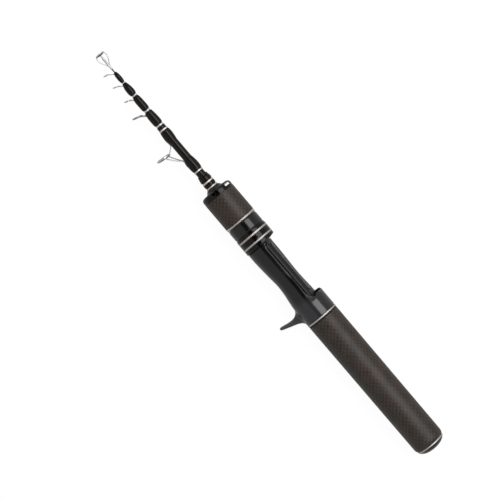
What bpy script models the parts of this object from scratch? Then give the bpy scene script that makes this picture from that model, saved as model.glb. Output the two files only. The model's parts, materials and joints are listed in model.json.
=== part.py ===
"""Telescopic casting rod, closed, lying on its grips and its trigger.

The rod is drawn along its own axis in the rod frame: +X runs from the tip to the butt, +Z leaves the
reel deck and -Z runs through the trigger and the guides. The empty rod_axis then leans that frame so
that the trigger's tip and the hood's bands touch the ground plane, z = 0, with the origin at the middle
of the footprint. A station is a distance from the front of the tip ring. Metres throughout.
"""

import math

import bmesh
import bpy
from mathutils import Matrix

MM = 0.001

# Driving sizes of the closed rod
CLOSED_LENGTH = 413.4 * MM
HALF_LENGTH = CLOSED_LENGTH / 2
FIT = 0.06 * MM
GAP = 0.3 * MM
CUT_MARGIN = 2.0 * MM
THIN_SIDES = 12
THICK_SIDES = 24
RING_STEPS = (16, 6)
WIRE_RESOLUTION = 1

# Rod sections, numbered from the solid tip to the fixed butt blank
SECTION_RADIUS = {1: 0.55 * MM, 2: 0.97 * MM, 3: 1.5 * MM, 4: 2.1 * MM, 5: 2.8 * MM, 6: 3.68 * MM, 7: 4.48 * MM}
SECTION_FRONT = {1: 4.0 * MM, 2: 18.4 * MM, 3: 30.0 * MM, 4: 43.6 * MM, 5: 59.5 * MM, 6: 75.0 * MM, 7: 126.0 * MM}
SECTION_BACK = 397.4 * MM
BUTT_BLANK_BACK = 398.0 * MM
SLIDING_GAP = 0.2 * MM
BLANK_TAPER = 0.0004
LEG_ROOT = 0.9 * MM
CHECK_EDGE = 0.12 * MM

# Handle
GRIP_RADIUS = 14.0 * MM
REAR_GRIP_RADIUS = (13.8 * MM, 13.5 * MM)
GRIP_SKIN = 0.7 * MM
GRIP_EDGE = 0.3 * MM
GRIP_ROUND = (3.2 * MM, 2.0 * MM)
HANDLE_BORE = 5.0 * MM
FORE_GRIP = (147.8 * MM, 173.0 * MM)
REAR_GRIP = (275.6 * MM, 407.2 * MM)
FORE_RING = (173.3 * MM, 174.7 * MM)
FORE_RING_RADIUS = 13.9 * MM
REAR_RING = (272.9 * MM, 275.3 * MM)
REAR_RING_RADIUS = 14.0 * MM

# Front cap with its hook windows: its hub, the ellipse of its bell, and the room behind its face
CAP_STATIONS = (139.2 * MM, 147.5 * MM)
CAP_HUB = ((0, 5.7 * MM), (1.2 * MM, 6.5 * MM), (2.3 * MM, 8.0 * MM))
CAP_BELL_CENTRE = (146.6 * MM, 10.4 * MM)
CAP_BELL_RADII = (4.9 * MM, 3.55 * MM)
CAP_ROOM = (143.2 * MM, 145.6 * MM)
CAP_ROOM_RADII = (8.2 * MM, 13.0 * MM)
WINDOW_COUNT = 5
WINDOW_ARC = 7.2 * MM
WINDOW_TURN = math.radians(11.6)
WINDOW_RADII = (9.0 * MM, 15.0 * MM)

# Reel seat
SEAT = (175.0 * MM, 272.6 * MM)
THREAD_END = 199.2 * MM
THREAD_RADIUS = 12.0 * MM
THREAD_DEPTH = 0.5 * MM
THREAD_PITCH = 2.0 * MM
THREAD_RIDGES = 6
BARREL_RADIUS = 8.2 * MM
BARREL_FLAT = 7.0 * MM
FLAT_STATIONS = (176.5 * MM, 264.0 * MM)
LEDGE_HEIGHT = 5.2 * MM
LIP_HEIGHT = 8.0 * MM
LIP_ROUND = 4.2 * MM
DECK_PAD = (203.0 * MM, 251.5 * MM)
DECK_PAD_WIDTH = 6.4 * MM
DECK_PAD_TOP = 7.7 * MM
REAR_HOOD_FRONT = 255.2 * MM
HOOD_SCOOP = (2.4 * MM, 2.6 * MM)
HOOD_BROW = (1.6 * MM, 1.9 * MM)
SEAT_RADIUS = 14.0 * MM
SEAT_EDGE = 0.2 * MM
POCKET_RADIUS = 7.2 * MM
POCKET_CENTRE = 6.0 * MM
POCKET_DEPTH = 8.4 * MM

# Moving hood and its nut
NUT = (175.0 * MM, 184.6 * MM)
NUT_RADIUS = 13.75 * MM
NUT_EDGE = 0.5 * MM
HOOD = (184.9 * MM, 199.5 * MM)
HOOD_TOP_END = 197.8 * MM
HOOD_TOP_LEVEL = 9.0 * MM
HOOD_RADIUS = 14.15 * MM
HOOD_BORE = 13.75 * MM
HOOD_NOSE = ((0, 1.0 * MM), (0.6 * MM, 0.5 * MM), (1.9 * MM, 0.05 * MM))
HOOD_COLLAR = 3.4 * MM
HOOD_BANDS = ((188.0 * MM, 189.6 * MM), (194.0 * MM, 195.8 * MM))
BAND_DEPTH = 0.25 * MM
KEY_HALF_WIDTH = 5.8 * MM
KEY_TOP = 12.5 * MM

# Trigger
TRIGGER_LENGTH = 34.4 * MM
TRIGGER_HALF_FLAT = 1.6 * MM
TRIGGER_EDGE = 1.4 * MM

# Butt
INSERT = (389.3 * MM, 407.3 * MM)
INSERT_RADIUS = 9.0 * MM
BUTT_BAND = (408.0 * MM, 410.4 * MM)
BUTT_BAND_RADIUS = 12.4 * MM
SEAL_RADIUS = 8.2 * MM
PLUG_RADIUS = 6.0 * MM
PLUG_EDGE = 0.5 * MM
CUSHION = (398.6 * MM, 400.2 * MM)
CUSHION_RADIUS = 5.2 * MM
CAP_RADIUS = 12.0 * MM
BUTT_FLAT_RADIUS = 3.0 * MM

# Tip ring, which is turned about the axis from the guides' line to point straight up
TIP_WIRE = 0.5 * MM
TIP_RING_STATION = TIP_WIRE
TIP_RING_RADIUS = 3.65 * MM
TIP_RING_BORE = 2.7 * MM
TIP_RING_DEPTH = 0.95 * MM
FERRULE = (2.8 * MM, 14.8 * MM)
FERRULE_RADII = (0.7 * MM, 1.0 * MM, 0.95 * MM, 0.8 * MM)
FERRULE_SHOULDER = 0.4 * MM
FERRULE_END = 2.6 * MM
NECK_RADIUS = 0.4 * MM
BRACE_RADIUS = 0.33 * MM

# Middle line of one of the tip ring's braces, in millimetres from the ring's side: back, outwards and up
TIP_BRACE = ((0, 0, 0), (1.9, 0.6, 0.3), (3.9, 0.6, 0.9), (6.4, -0.4, 1.8), (8.7, -1.65, 2.7), (11.0, -2.95, 3.4))


def rest_lean():
    """Angle of the trigger's line below the horizontal with the hood and the trigger's tip on the ground."""
    corner_y = TRIGGER_HALF_FLAT
    corner_z = TRIGGER_LENGTH - TRIGGER_EDGE
    drop = HOOD_RADIUS - TRIGGER_EDGE
    return math.asin(drop / math.hypot(corner_y, corner_z)) - math.atan2(corner_y, corner_z)


LEAN = rest_lean()
ROLL = LEAN - math.radians(90)
BAND_RADIUS = HOOD_RADIUS + 0.05 * MM
TRIGGER_REACH = ((TRIGGER_LENGTH - TRIGGER_EDGE) * math.cos(LEAN) + TRIGGER_HALF_FLAT * math.sin(LEAN)
                 + TRIGGER_EDGE)
AXIS_Y = (TRIGGER_REACH - BAND_RADIUS) / 2
TIP_TURN = -(math.radians(90) + LEAN)


def along(station):
    """X of a station in the rod frame, whose origin is at half the closed length."""
    return station - HALF_LENGTH


def clear_scene():
    for old in list(bpy.data.objects):
        bpy.data.objects.remove(old, do_unlink=True)


def new_collection(name):
    made = bpy.data.collections.new(name)
    bpy.context.scene.collection.children.link(made)
    return made


clear_scene()
PARTS = new_collection("telescopic_fishing_rod")
CUTTERS = new_collection("cutters")

# Finishes: base colour, roughness, metallic
FINISHES = {
    "gloss_blank": ((0.012, 0.011, 0.012), 0.16, 0.0),
    "thread_wrap": ((0.016, 0.012, 0.012), 0.22, 0.0),
    "silver": ((0.62, 0.57, 0.52), 0.28, 1.0),
    "gloss_black": ((0.018, 0.017, 0.019), 0.2, 0.0),
    "satin_black": ((0.05, 0.048, 0.052), 0.42, 0.0),
    "woven_grip": ((0.045, 0.038, 0.032), 0.5, 0.0),
    "foam": ((0.03, 0.03, 0.03), 0.85, 0.0),
    "steel_frame": ((0.45, 0.44, 0.43), 0.25, 1.0),
    "dark_ring": ((0.02, 0.02, 0.022), 0.12, 0.0),
    "rubber": ((0.02, 0.02, 0.02), 0.8, 0.0),
}


def finish(made, kind):
    """Give an object its own material in one of the rod's finishes."""
    colour, roughness, metallic = FINISHES[kind]
    own = bpy.data.materials.new(made.name + "_finish")
    own.use_nodes = True
    shader = own.node_tree.nodes["Principled BSDF"]
    shader.inputs["Base Color"].default_value = (*colour, 1.0)
    shader.inputs["Roughness"].default_value = roughness
    shader.inputs["Metallic"].default_value = metallic
    made.data.materials.clear()
    made.data.materials.append(own)


def new_empty(name, parent=None):
    made = bpy.data.objects.new(name, None)
    PARTS.objects.link(made)
    made.parent = parent
    return made


def new_object(name, mesh, parent, kind=None):
    """A part in its finish, or a hidden cutter where no finish is named."""
    made = bpy.data.objects.new(name, mesh)
    made.parent = parent
    if kind:
        PARTS.objects.link(made)
        finish(made, kind)
    else:
        CUTTERS.objects.link(made)
        made.hide_render = True
        made.display_type = "WIRE"
    return made


def turned(name, outer, inner, parent, kind=None, sides=THIN_SIDES):
    """A body turned about the rod's axis from (station, radius) pairs that run from front to back.

    With no inner pairs the body is solid and its outer pairs start and end on the axis.
    """
    inner = inner or []
    profile = [(radius, along(station)) for station, radius in reversed(outer)]
    profile += [(radius, along(station)) for station, radius in inner]
    mesh = bpy.data.meshes.new(name)
    count = len(profile)
    edges = [(i, i + 1) for i in range(count - 1)]
    if inner:
        edges.append((count - 1, 0))
    mesh.from_pydata([(radius, 0, x) for radius, x in profile], edges, [])
    made = new_object(name, mesh, parent, kind)
    made.rotation_euler = (0, math.radians(90), 0)
    screw = made.modifiers.new("Turn", "SCREW")
    screw.axis = "Z"
    screw.angle = math.radians(360)
    screw.steps = sides
    screw.render_steps = sides
    screw.use_merge_vertices = True
    screw.merge_threshold = 0.000005
    screw.use_smooth_shade = True
    return made


def tube(name, front, back, radius, bore, parent, kind=None, edge=0.0, sides=THIN_SIDES):
    """A plain turned tube whose outer edges are chamfered by edge."""
    outer = [(front, radius - edge), (front + edge, radius), (back - edge, radius), (back, radius - edge)]
    if not edge:
        outer = [(front, radius), (back, radius)]
    return turned(name, outer, [(front, bore), (back, bore)], parent, kind, sides)


def block(name, low, high, parent, kind=None):
    """A box between two corners given as (station, y, z)."""
    shape = bmesh.new()
    bmesh.ops.create_cube(shape, size=1)
    size = [b - a for a, b in zip(low, high)]
    bmesh.ops.scale(shape, vec=size, verts=shape.verts)
    mesh = bpy.data.meshes.new(name)
    shape.to_mesh(mesh)
    shape.free()
    made = new_object(name, mesh, parent, kind)
    made.location = (along((low[0] + high[0]) / 2), (low[1] + high[1]) / 2, (low[2] + high[2]) / 2)
    return made


def rod_cylinder(name, front, back, radius, height, parent, kind=None, sides=THICK_SIDES):
    """A plain cylinder along the rod, whose axis is height above the rod's."""
    shape = bmesh.new()
    turn = Matrix.Rotation(math.radians(90), 4, "Y")
    bmesh.ops.create_cone(shape, cap_ends=True, segments=sides, radius1=radius, radius2=radius,
                          depth=back - front, matrix=turn)
    mesh = bpy.data.meshes.new(name)
    shape.to_mesh(mesh)
    shape.free()
    made = new_object(name, mesh, parent, kind)
    made.location = (along((front + back) / 2), 0, height)
    return made


def mesh_from_curve(curve_object, name, parent, kind):
    """Turn a curve with loose caps into a closed mesh object in the same place."""
    bpy.context.view_layer.update()
    graph = bpy.context.evaluated_depsgraph_get()
    mesh = bpy.data.meshes.new_from_object(curve_object.evaluated_get(graph))
    mesh.name = name
    shape = bmesh.new()
    shape.from_mesh(mesh)
    bmesh.ops.remove_doubles(shape, verts=shape.verts, dist=0.000001)
    bmesh.ops.recalc_face_normals(shape, faces=shape.faces)
    shape.to_mesh(mesh)
    shape.free()
    made = new_object(name, mesh, parent, kind)
    bpy.data.objects.remove(curve_object, do_unlink=True)
    return made


def wire(name, points, radius, parent, kind=None):
    """A round wire through (station, y, z) points."""
    curve = bpy.data.curves.new(name + "_path", "CURVE")
    curve.dimensions = "3D"
    curve.bevel_depth = radius
    curve.bevel_resolution = WIRE_RESOLUTION
    curve.use_fill_caps = True
    spline = curve.splines.new("POLY")
    spline.points.add(len(points) - 1)
    for point, (station, y, z) in zip(spline.points, points):
        point.co = (along(station), y, z, 1)
    drawn = bpy.data.objects.new(name + "_path", curve)
    CUTTERS.objects.link(drawn)
    return mesh_from_curve(drawn, name, parent, kind)


def side_outline(name, points, half_width, edge, parent, kind=None):
    """A flat outline of (station, z) points given thickness across the rod, with rounded edges."""
    curve = bpy.data.curves.new(name + "_outline", "CURVE")
    curve.dimensions = "2D"
    curve.fill_mode = "BOTH"
    curve.extrude = half_width
    curve.bevel_depth = edge
    curve.bevel_resolution = 1
    curve.offset = -edge
    spline = curve.splines.new("POLY")
    spline.points.add(len(points) - 1)
    for point, (station, z) in zip(spline.points, points):
        point.co = (along(station), z, 0, 1)
    spline.use_cyclic_u = True
    drawn = bpy.data.objects.new(name + "_outline", curve)
    CUTTERS.objects.link(drawn)
    made = mesh_from_curve(drawn, name, parent, kind)
    made.rotation_euler = (math.radians(90), 0, 0)
    return made


def boolean(target, tool, operation):
    change = target.modifiers.new(operation.title() + "_" + tool.name, "BOOLEAN")
    change.operation = operation
    change.solver = "EXACT"
    change.object = tool


def arc_points(centre, radii, start, end, steps):
    """Points of an ellipse's arc in the (station, radius) plane, angles in degrees from +station."""
    points = []
    for step in range(steps + 1):
        angle = math.radians(start + (end - start) * step / steps)
        points.append((centre[0] + radii[0] * math.cos(angle), centre[1] + radii[1] * math.sin(angle)))
    return points


def section_outer(section, station):
    """Outer radius of a rod section, which grows towards its back."""
    return SECTION_RADIUS[section] + BLANK_TAPER * (station - SECTION_FRONT[section])


def section_tube(section, name, back, parent):
    """A hollow rod section, whose bore clears the next thinner section by the sliding gap."""
    front = SECTION_FRONT[section]
    bore_front = section_outer(section - 1, front) + SLIDING_GAP
    bore_back = section_outer(section - 1, back) + SLIDING_GAP
    outer = [(front, section_outer(section, front)), (back, section_outer(section, back))]
    return turned(name, outer, [(front, bore_front), (back, bore_back)], parent, "gloss_blank")


# How deep a foot's channel and its notch go, as shares of the section's radius, and the notch's room at a leg's root
CHANNEL_FLOOR = 0.8
NOTCH_FLOOR = 0.7
ROOT_ROOM = 1.4


def cut_channel(made, section, foot, notch, parent):
    """Cut a wrap for a guide's foot, and open it outwards along the notch, where the legs leave it."""
    front, back, height, width = foot
    base = section_outer(section, front)
    half_width = width / 2 + FIT
    channel = block(made.name + "_channel", (front - FIT, -half_width, -(base + 3 * FIT + height)),
                    (back + FIT, half_width, -base * CHANNEL_FLOOR), parent)
    boolean(made, channel, "DIFFERENCE")
    opening = block(made.name + "_notch", (notch[0], -half_width - FIT, -(base + height + CUT_MARGIN)),
                    (notch[1], half_width + FIT, -base * NOTCH_FLOOR), parent)
    boolean(made, opening, "DIFFERENCE")


def wrap(name, section, outline, parent, foot=None):
    """Varnished thread over a section, with a channel for a guide's foot (front, back, height, width)."""
    front = outline[0][0]
    back = outline[-1][0]
    bore = [(front, section_outer(section, front) + FIT), (back, section_outer(section, back) + FIT)]
    made = turned(name, outline, bore, parent, "thread_wrap")
    if foot:
        cut_channel(made, section, foot, (front - CUT_MARGIN, foot[0] + LEG_ROOT * ROOT_ROOM), parent)
    return made


def trim_ring(name, section, front, back, radius, parent):
    """A bright metal winding check round a section."""
    bore = section_outer(section, back) + FIT
    return tube(name, front, back, radius, bore, parent, "silver", CHECK_EDGE)


def ring_object(name, station, height, radius, minor, lean, parent, kind=None):
    """A torus whose axis runs along the rod, leant forward by lean about its own centre."""
    bpy.ops.mesh.primitive_torus_add(major_radius=radius, minor_radius=minor,
                                     major_segments=RING_STEPS[0], minor_segments=RING_STEPS[1])
    drawn = bpy.context.object
    mesh = drawn.data
    bpy.data.objects.remove(drawn, do_unlink=True)
    made = new_object(name, mesh, parent, kind)
    made.rotation_euler = (0, math.radians(90) + lean, 0)
    made.location = (along(station), 0, height)
    return made


# A ring insert's section: half widths at its rim and its throat as shares of its half depth, and the radius
# of its shoulder as a share of its wall
INSERT_RIM = 0.6
INSERT_THROAT = 0.4
INSERT_SHOULDER = 0.45


def ring_insert(name, station, height, outer_radius, bore, depth, lean, parent):
    """The hard ring that the line runs through: a rounded turned ring inside its frame."""
    half = depth / 2
    rim = half * INSERT_RIM
    throat = half * INSERT_THROAT
    shoulder = bore + (outer_radius - bore) * INSERT_SHOULDER
    outer = [(-half, shoulder), (-rim, outer_radius), (rim, outer_radius), (half, shoulder)]
    inner = [(-throat, bore), (throat, bore)]
    outer = [(HALF_LENGTH + x, radius) for x, radius in outer]
    inner = [(HALF_LENGTH + x, radius) for x, radius in inner]
    made = turned(name, outer, inner, parent, "dark_ring")
    made.rotation_euler = (0, math.radians(90) + lean, 0)
    made.location = (along(station), 0, height)
    return made


def on_ring(station, height, radius, lean, degrees):
    """A (station, y, z) point of a leant ring, at an angle from its lowest point, nearest the blank."""
    angle = math.radians(degrees)
    side = radius * math.sin(angle)
    up = radius * math.cos(angle)
    return (station + up * math.sin(lean), side, height + up * math.cos(lean))


def foot_block(name, section, front, back, height, width, parent):
    base = section_outer(section, back) + FIT
    return block(name, (front, -width / 2, -(base + height)), (back, width / 2, -base), parent)


def single_foot_guide(size, parent):
    """A guide on one foot: a ring frame, two legs and the foot under the wrap, and its ring insert."""
    section = size["section"]
    label = "guide_%d" % size["number"]
    lean = math.radians(size["lean"])
    minor = size["wire"]
    major = size["ring"] - minor
    station = size["station"]
    height = -size["height"]
    foot_front, foot_back, foot_height, foot_width = size["foot"]
    frame = ring_object(label + "_frame", station, height, major, minor, lean, parent, "steel_frame")
    foot = foot_block(label + "_foot", section, foot_front, foot_back, foot_height, foot_width, parent)
    boolean(frame, foot, "UNION")
    level = -(section_outer(section, foot_front) + FIT + foot_height / 2)
    for side in (-1, 1):
        root = (foot_front + LEG_ROOT, side * foot_width * ROOT_SPREAD, level)
        knee = (foot_front - KNEE_SET[0] * minor, side * foot_width * KNEE_SPREAD, level - KNEE_SET[1] * minor)
        end = on_ring(station, height, major, lean, side * LEG_ANGLE)
        leg_name = "%s_leg_%s" % (label, "left" if side < 0 else "right")
        leg = wire(leg_name, [root, knee, end], minor * LEG_SHARE, parent)
        boolean(frame, leg, "UNION")
    insert_outer = major - minor - FIT
    ring_insert(label + "_ring", station, height, insert_outer, size["bore"], minor * INSERT_DEPTH, lean, parent)


def tip_section(parent):
    """The solid tip, its ferrule tube and the braced tip ring."""
    blank = [(SECTION_FRONT[1], 0), (SECTION_FRONT[1], SECTION_RADIUS[1]),
             (SECTION_BACK, section_outer(1, SECTION_BACK)), (SECTION_BACK, 0)]
    turned("tip_blank", blank, None, parent, "gloss_blank")
    turner = new_empty("tip_turner", parent)
    turner.rotation_euler = (TIP_TURN, 0, 0)
    front, back = FERRULE
    lip, body, waist, end = FERRULE_RADII
    bore = section_outer(1, back) + FIT
    outer = [(front, 0), (front, lip), (front + FERRULE_SHOULDER, body), (back - FERRULE_END, waist), (back, end)]
    inner = [(back, bore), (SECTION_FRONT[1] - GAP, bore), (SECTION_FRONT[1] - GAP, 0)]
    ferrule = turned("tip_ferrule", outer + inner, None, turner, "steel_frame")
    height = -TIP_RING_RADIUS
    ring = ring_object("tip_ring_holder", TIP_RING_STATION, height, TIP_RING_RADIUS, TIP_WIRE, 0, turner)
    boolean(ferrule, ring, "UNION")
    neck = wire("tip_neck", [(TIP_RING_STATION, 0, 0), (front + TIP_WIRE, 0, 0)], NECK_RADIUS, turner)
    boolean(ferrule, neck, "UNION")
    for side in (-1, 1):
        points = [(TIP_RING_STATION + x * MM, side * (TIP_RING_RADIUS + y * MM), height + z * MM)
                  for x, y, z in TIP_BRACE]
        leg = wire("tip_brace_%s" % ("left" if side < 0 else "right"), points, BRACE_RADIUS, turner)
        boolean(ferrule, leg, "UNION")
    ring_insert("tip_ring", TIP_RING_STATION, height, TIP_RING_RADIUS - TIP_WIRE - FIT, TIP_RING_BORE,
                TIP_RING_DEPTH, 0, turner)


# A guide's legs: their spread as shares of the foot's width, the knee's place and the leg's radius as
# shares of the ring's wire, and where they meet the ring, in degrees from its point nearest the blank
ROOT_SPREAD = 0.2
KNEE_SPREAD = 0.28
KNEE_SET = (0.6, 0.5)
LEG_SHARE = 0.8
LEG_ANGLE = 42
INSERT_DEPTH = 2.4

SINGLE_GUIDES = (
    {"number": 1, "section": 2, "station": 15.4 * MM, "height": 7.6 * MM, "ring": 2.2 * MM, "wire": 0.3 * MM,
     "bore": 1.0 * MM, "lean": 11, "foot": (18.6 * MM, 25.0 * MM, 0.36 * MM, 1.1 * MM)},
    {"number": 2, "section": 3, "station": 27.7 * MM, "height": 7.3 * MM, "ring": 2.85 * MM, "wire": 0.36 * MM,
     "bore": 1.4 * MM, "lean": 22, "foot": (30.3 * MM, 38.6 * MM, 0.42 * MM, 1.5 * MM)},
    {"number": 3, "section": 4, "station": 42.4 * MM, "height": 7.4 * MM, "ring": 3.15 * MM, "wire": 0.4 * MM,
     "bore": 1.6 * MM, "lean": 21, "foot": (44.2 * MM, 53.6 * MM, 0.5 * MM, 1.9 * MM)},
    {"number": 4, "section": 5, "station": 57.2 * MM, "height": 10.3 * MM, "ring": 4.3 * MM, "wire": 0.5 * MM,
     "bore": 2.5 * MM, "lean": 17, "foot": (59.8 * MM, 69.6 * MM, 0.56 * MM, 2.4 * MM)},
)

# Outline of each section's top wrap and its winding check, as (station, radius) in millimetres
TOP_WRAPS = {
    2: (((18.6, 1.25), (19.4, 1.45), (22.0, 1.85), (24.6, 1.96), (26.6, 1.85), (28.5, 1.35)), (28.8, 29.8, 1.55)),
    3: (((30.1, 1.85), (31.4, 2.15), (34.4, 2.75), (37.8, 3.0), (40.2, 2.8), (41.7, 2.3)), (42.0, 43.4, 2.35)),
    4: (((43.8, 2.45), (45.6, 2.85), (49.0, 3.1), (54.0, 3.12), (56.4, 3.0), (57.3, 2.7)), (57.6, 59.3, 2.75)),
    5: (((59.7, 3.15), (61.8, 3.4), (64.8, 3.7), (68.6, 3.86), (71.4, 3.75), (72.8, 3.35)), (73.1, 74.8, 3.4)),
}


def sliding_section(section, parent):
    """One of sections 2 to 5: tube, wrap, winding check and single-foot guide."""
    body = new_empty("section_%d_axis" % section, parent)
    section_tube(section, "section_%d_tube" % section, SECTION_BACK, body)
    outline, band = TOP_WRAPS[section]
    guide = SINGLE_GUIDES[section - 2]
    wrap("section_%d_wrap" % section, section, [(s * MM, r * MM) for s, r in outline], body, guide["foot"])
    trim_ring("section_%d_trim_ring" % section, section, band[0] * MM, band[1] * MM, band[2] * MM, body)
    single_foot_guide(guide, body)


# Double-foot guide on section 6
BIG_RING_STATION = 95.9 * MM
BIG_RING_HEIGHT = 15.75 * MM
BIG_RING_RADIUS = 6.4 * MM
BIG_RING_BORE = 4.4 * MM
BIG_WIRE = 0.6 * MM
BIG_LEAN = math.radians(6)
BIG_FRONT_FOOT = (82.0 * MM, 92.4 * MM, 0.6 * MM, 2.6 * MM)
BIG_REAR_FOOT = (108.6 * MM, 117.6 * MM, 0.6 * MM, 2.6 * MM)
BIG_LEG_RADIUS = BIG_WIRE * 0.85
BIG_LEG_ANGLE = 72
BIG_LEG_SPREAD = (0.6 * MM, 0.8 * MM)
BIG_LEG_BEND = 0.3 * MM
BIG_ROOT = 1.5 * MM
BIG_INSERT_DEPTH = BIG_WIRE * 3.2

# Varnished mounds over the large guide's feet, turned a little so that no facet of theirs lies on the wrap's
FOOT_COVER_RADII = (5.6 * MM, 1.9 * MM, 1.1 * MM)
FOOT_COVER_TURN = (math.radians(5), 0, math.radians(7))
FOOT_COVER_STEPS = (16, 8)
FOOT_COVER_RISE = 0.25 * MM

# Section 6: each wrap's (station, radius) outline in millimetres, the stretch where the legs leave it, and the
# middle of its mound; then each winding check's front, back and radius
FRONT_WRAP = ((79.6, 4.05), (81.4, 4.4), (84.4, 4.45), (87.6, 4.1), (89.8, 3.8))
FRONT_WRAP_NOTCH = (90.6 * MM, 95.0 * MM)
FRONT_MOUND = 87.4 * MM
REAR_WRAP = ((108.6, 3.8), (111.4, 4.15), (115.2, 4.45), (118.4, 4.35), (120.5, 4.05))
REAR_WRAP_NOTCH = (106.0 * MM, 110.4 * MM)
REAR_MOUND = 113.6 * MM
SECTION_SIX_CHECKS = (("front", 77.6 * MM, 79.4 * MM, 4.0 * MM), ("rear", 120.7 * MM, 122.3 * MM, 4.05 * MM))

# Butt blank: its wrap's two parts as (station, radius) in millimetres, and its winding checks
BUTT_WRAPS = (("front", ((126.3, 4.62), (127.6, 4.9), (129.2, 5.15), (131.9, 5.2))),
              ("rear", ((134.4, 5.2), (136.0, 5.15), (137.1, 4.95))))
BUTT_CHECKS = (("middle", 132.2 * MM, 134.1 * MM, 5.2 * MM), ("rear", 137.4 * MM, 138.9 * MM, 5.3 * MM))


def foot_cover(name, station, radius, parent):
    """The low mound of varnished thread over a guide's foot."""
    shape = bmesh.new()
    bmesh.ops.create_uvsphere(shape, u_segments=FOOT_COVER_STEPS[0], v_segments=FOOT_COVER_STEPS[1], radius=1)
    bmesh.ops.scale(shape, vec=FOOT_COVER_RADII, verts=shape.verts)
    mesh = bpy.data.meshes.new(name)
    shape.to_mesh(mesh)
    shape.free()
    made = new_object(name, mesh, parent)
    made.location = (along(station), 0, -radius)
    made.rotation_euler = FOOT_COVER_TURN
    return made


def guide_wrap(name, outline, foot, notch, cover_station, parent):
    """One of section 6's two wraps: a turned body with a mound, bored and then cut for the guide's foot.

    The notch is the (front, back) stretch where the legs leave the wrap.
    """
    bare = [(s * MM, r * MM) for s, r in outline]
    solid = [(bare[0][0], 0)] + bare + [(bare[-1][0], 0)]
    made = turned(name, solid, None, parent, "thread_wrap")
    cover = foot_cover(name + "_mound", cover_station, SECTION_RADIUS[6] + FOOT_COVER_RISE, parent)
    boolean(made, cover, "UNION")
    bore = section_outer(6, foot[1]) + FIT
    core = rod_cylinder(name + "_core", bare[0][0] - CUT_MARGIN, bare[-1][0] + CUT_MARGIN, bore, 0, parent, None,
                        THIN_SIDES)
    boolean(made, core, "DIFFERENCE")
    cut_channel(made, 6, foot, notch, parent)
    return made


def section_six(parent):
    """The thickest sliding section, which carries the large double-foot guide."""
    body = new_empty("section_6_axis", parent)
    section_tube(6, "section_6_tube", SECTION_BACK, body)
    for label, front, back, radius in SECTION_SIX_CHECKS:
        trim_ring("section_6_%s_trim_ring" % label, 6, front, back, radius, body)
    guide_wrap("front_foot_wrap", FRONT_WRAP, BIG_FRONT_FOOT, FRONT_WRAP_NOTCH, FRONT_MOUND, body)
    guide_wrap("rear_foot_wrap", REAR_WRAP, BIG_REAR_FOOT, REAR_WRAP_NOTCH, REAR_MOUND, body)
    major = BIG_RING_RADIUS - BIG_WIRE
    height = -BIG_RING_HEIGHT
    frame = ring_object("guide_5_frame", BIG_RING_STATION, height, major, BIG_WIRE, BIG_LEAN, body, "steel_frame")
    for label, foot in (("front", BIG_FRONT_FOOT), ("rear", BIG_REAR_FOOT)):
        boolean(frame, foot_block("guide_5_%s_foot" % label, 6, *foot, body), "UNION")
    level = -(section_outer(6, BIG_REAR_FOOT[0]) + FIT + BIG_REAR_FOOT[2] / 2)
    front_root = BIG_FRONT_FOOT[1]
    front_leg = [(front_root - BIG_ROOT, 0, level), (front_root + BIG_LEG_BEND, 0, level - BIG_LEG_BEND),
                 on_ring(BIG_RING_STATION, height, major, BIG_LEAN, 0)]
    boolean(frame, wire("guide_5_front_leg", front_leg, BIG_LEG_RADIUS, body), "UNION")
    rear_root = BIG_REAR_FOOT[0]
    for side in (-1, 1):
        leg = [(rear_root + BIG_ROOT, side * BIG_LEG_SPREAD[0], level),
               (rear_root - BIG_LEG_BEND, side * BIG_LEG_SPREAD[1], level - BIG_LEG_BEND),
               on_ring(BIG_RING_STATION, height, major, BIG_LEAN, side * BIG_LEG_ANGLE)]
        name = "guide_5_rear_leg_%s" % ("left" if side < 0 else "right")
        boolean(frame, wire(name, leg, BIG_LEG_RADIUS, body), "UNION")
    insert_outer = major - BIG_WIRE - FIT
    ring_insert("guide_5_ring", BIG_RING_STATION, height, insert_outer, BIG_RING_BORE, BIG_INSERT_DEPTH, BIG_LEAN,
                body)


def butt_section(parent):
    """The fixed blank that runs through the handle, its top wrap in two parts and its bright rings."""
    section_tube(7, "butt_blank", BUTT_BLANK_BACK, parent)
    for label, outline in BUTT_WRAPS:
        wrap("butt_%s_wrap" % label, 7, [(s * MM, r * MM) for s, r in outline], parent)
    for label, front, back, radius in BUTT_CHECKS:
        trim_ring("butt_%s_trim_ring" % label, 7, front, back, radius, parent)


def front_cap(parent):
    """The bell in front of the fore grip, hollow behind its face, with windows that hold a hook."""
    front, back = CAP_STATIONS
    outer = [(front + forward, radius) for forward, radius in CAP_HUB]
    outer += arc_points(CAP_BELL_CENTRE, CAP_BELL_RADII, 172, 90, 6)
    outer.append((back, GRIP_RADIUS))
    made = turned("front_cap", outer, [(front, HANDLE_BORE), (back, HANDLE_BORE)], parent, "gloss_black", THICK_SIDES)
    for number in range(WINDOW_COUNT):
        turner = math.radians(360 / WINDOW_COUNT) * number + WINDOW_TURN
        window = block("front_cap_window_%d" % number, (CAP_ROOM[0] + FIT * 2, -WINDOW_ARC / 2, WINDOW_RADII[0]),
                       (CAP_ROOM[1] - FIT * 2, WINDOW_ARC / 2, WINDOW_RADII[1]), parent)
        centre = window.location.copy()
        window.location = (centre.x, -centre.z * math.sin(turner), centre.z * math.cos(turner))
        window.rotation_euler = (turner, 0, 0)
        boolean(made, window, "DIFFERENCE")
    room = tube("front_cap_room", CAP_ROOM[0], CAP_ROOM[1], CAP_ROOM_RADII[1], CAP_ROOM_RADII[0], parent, None, 0,
                THICK_SIDES)
    boolean(made, room, "DIFFERENCE")


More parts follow.
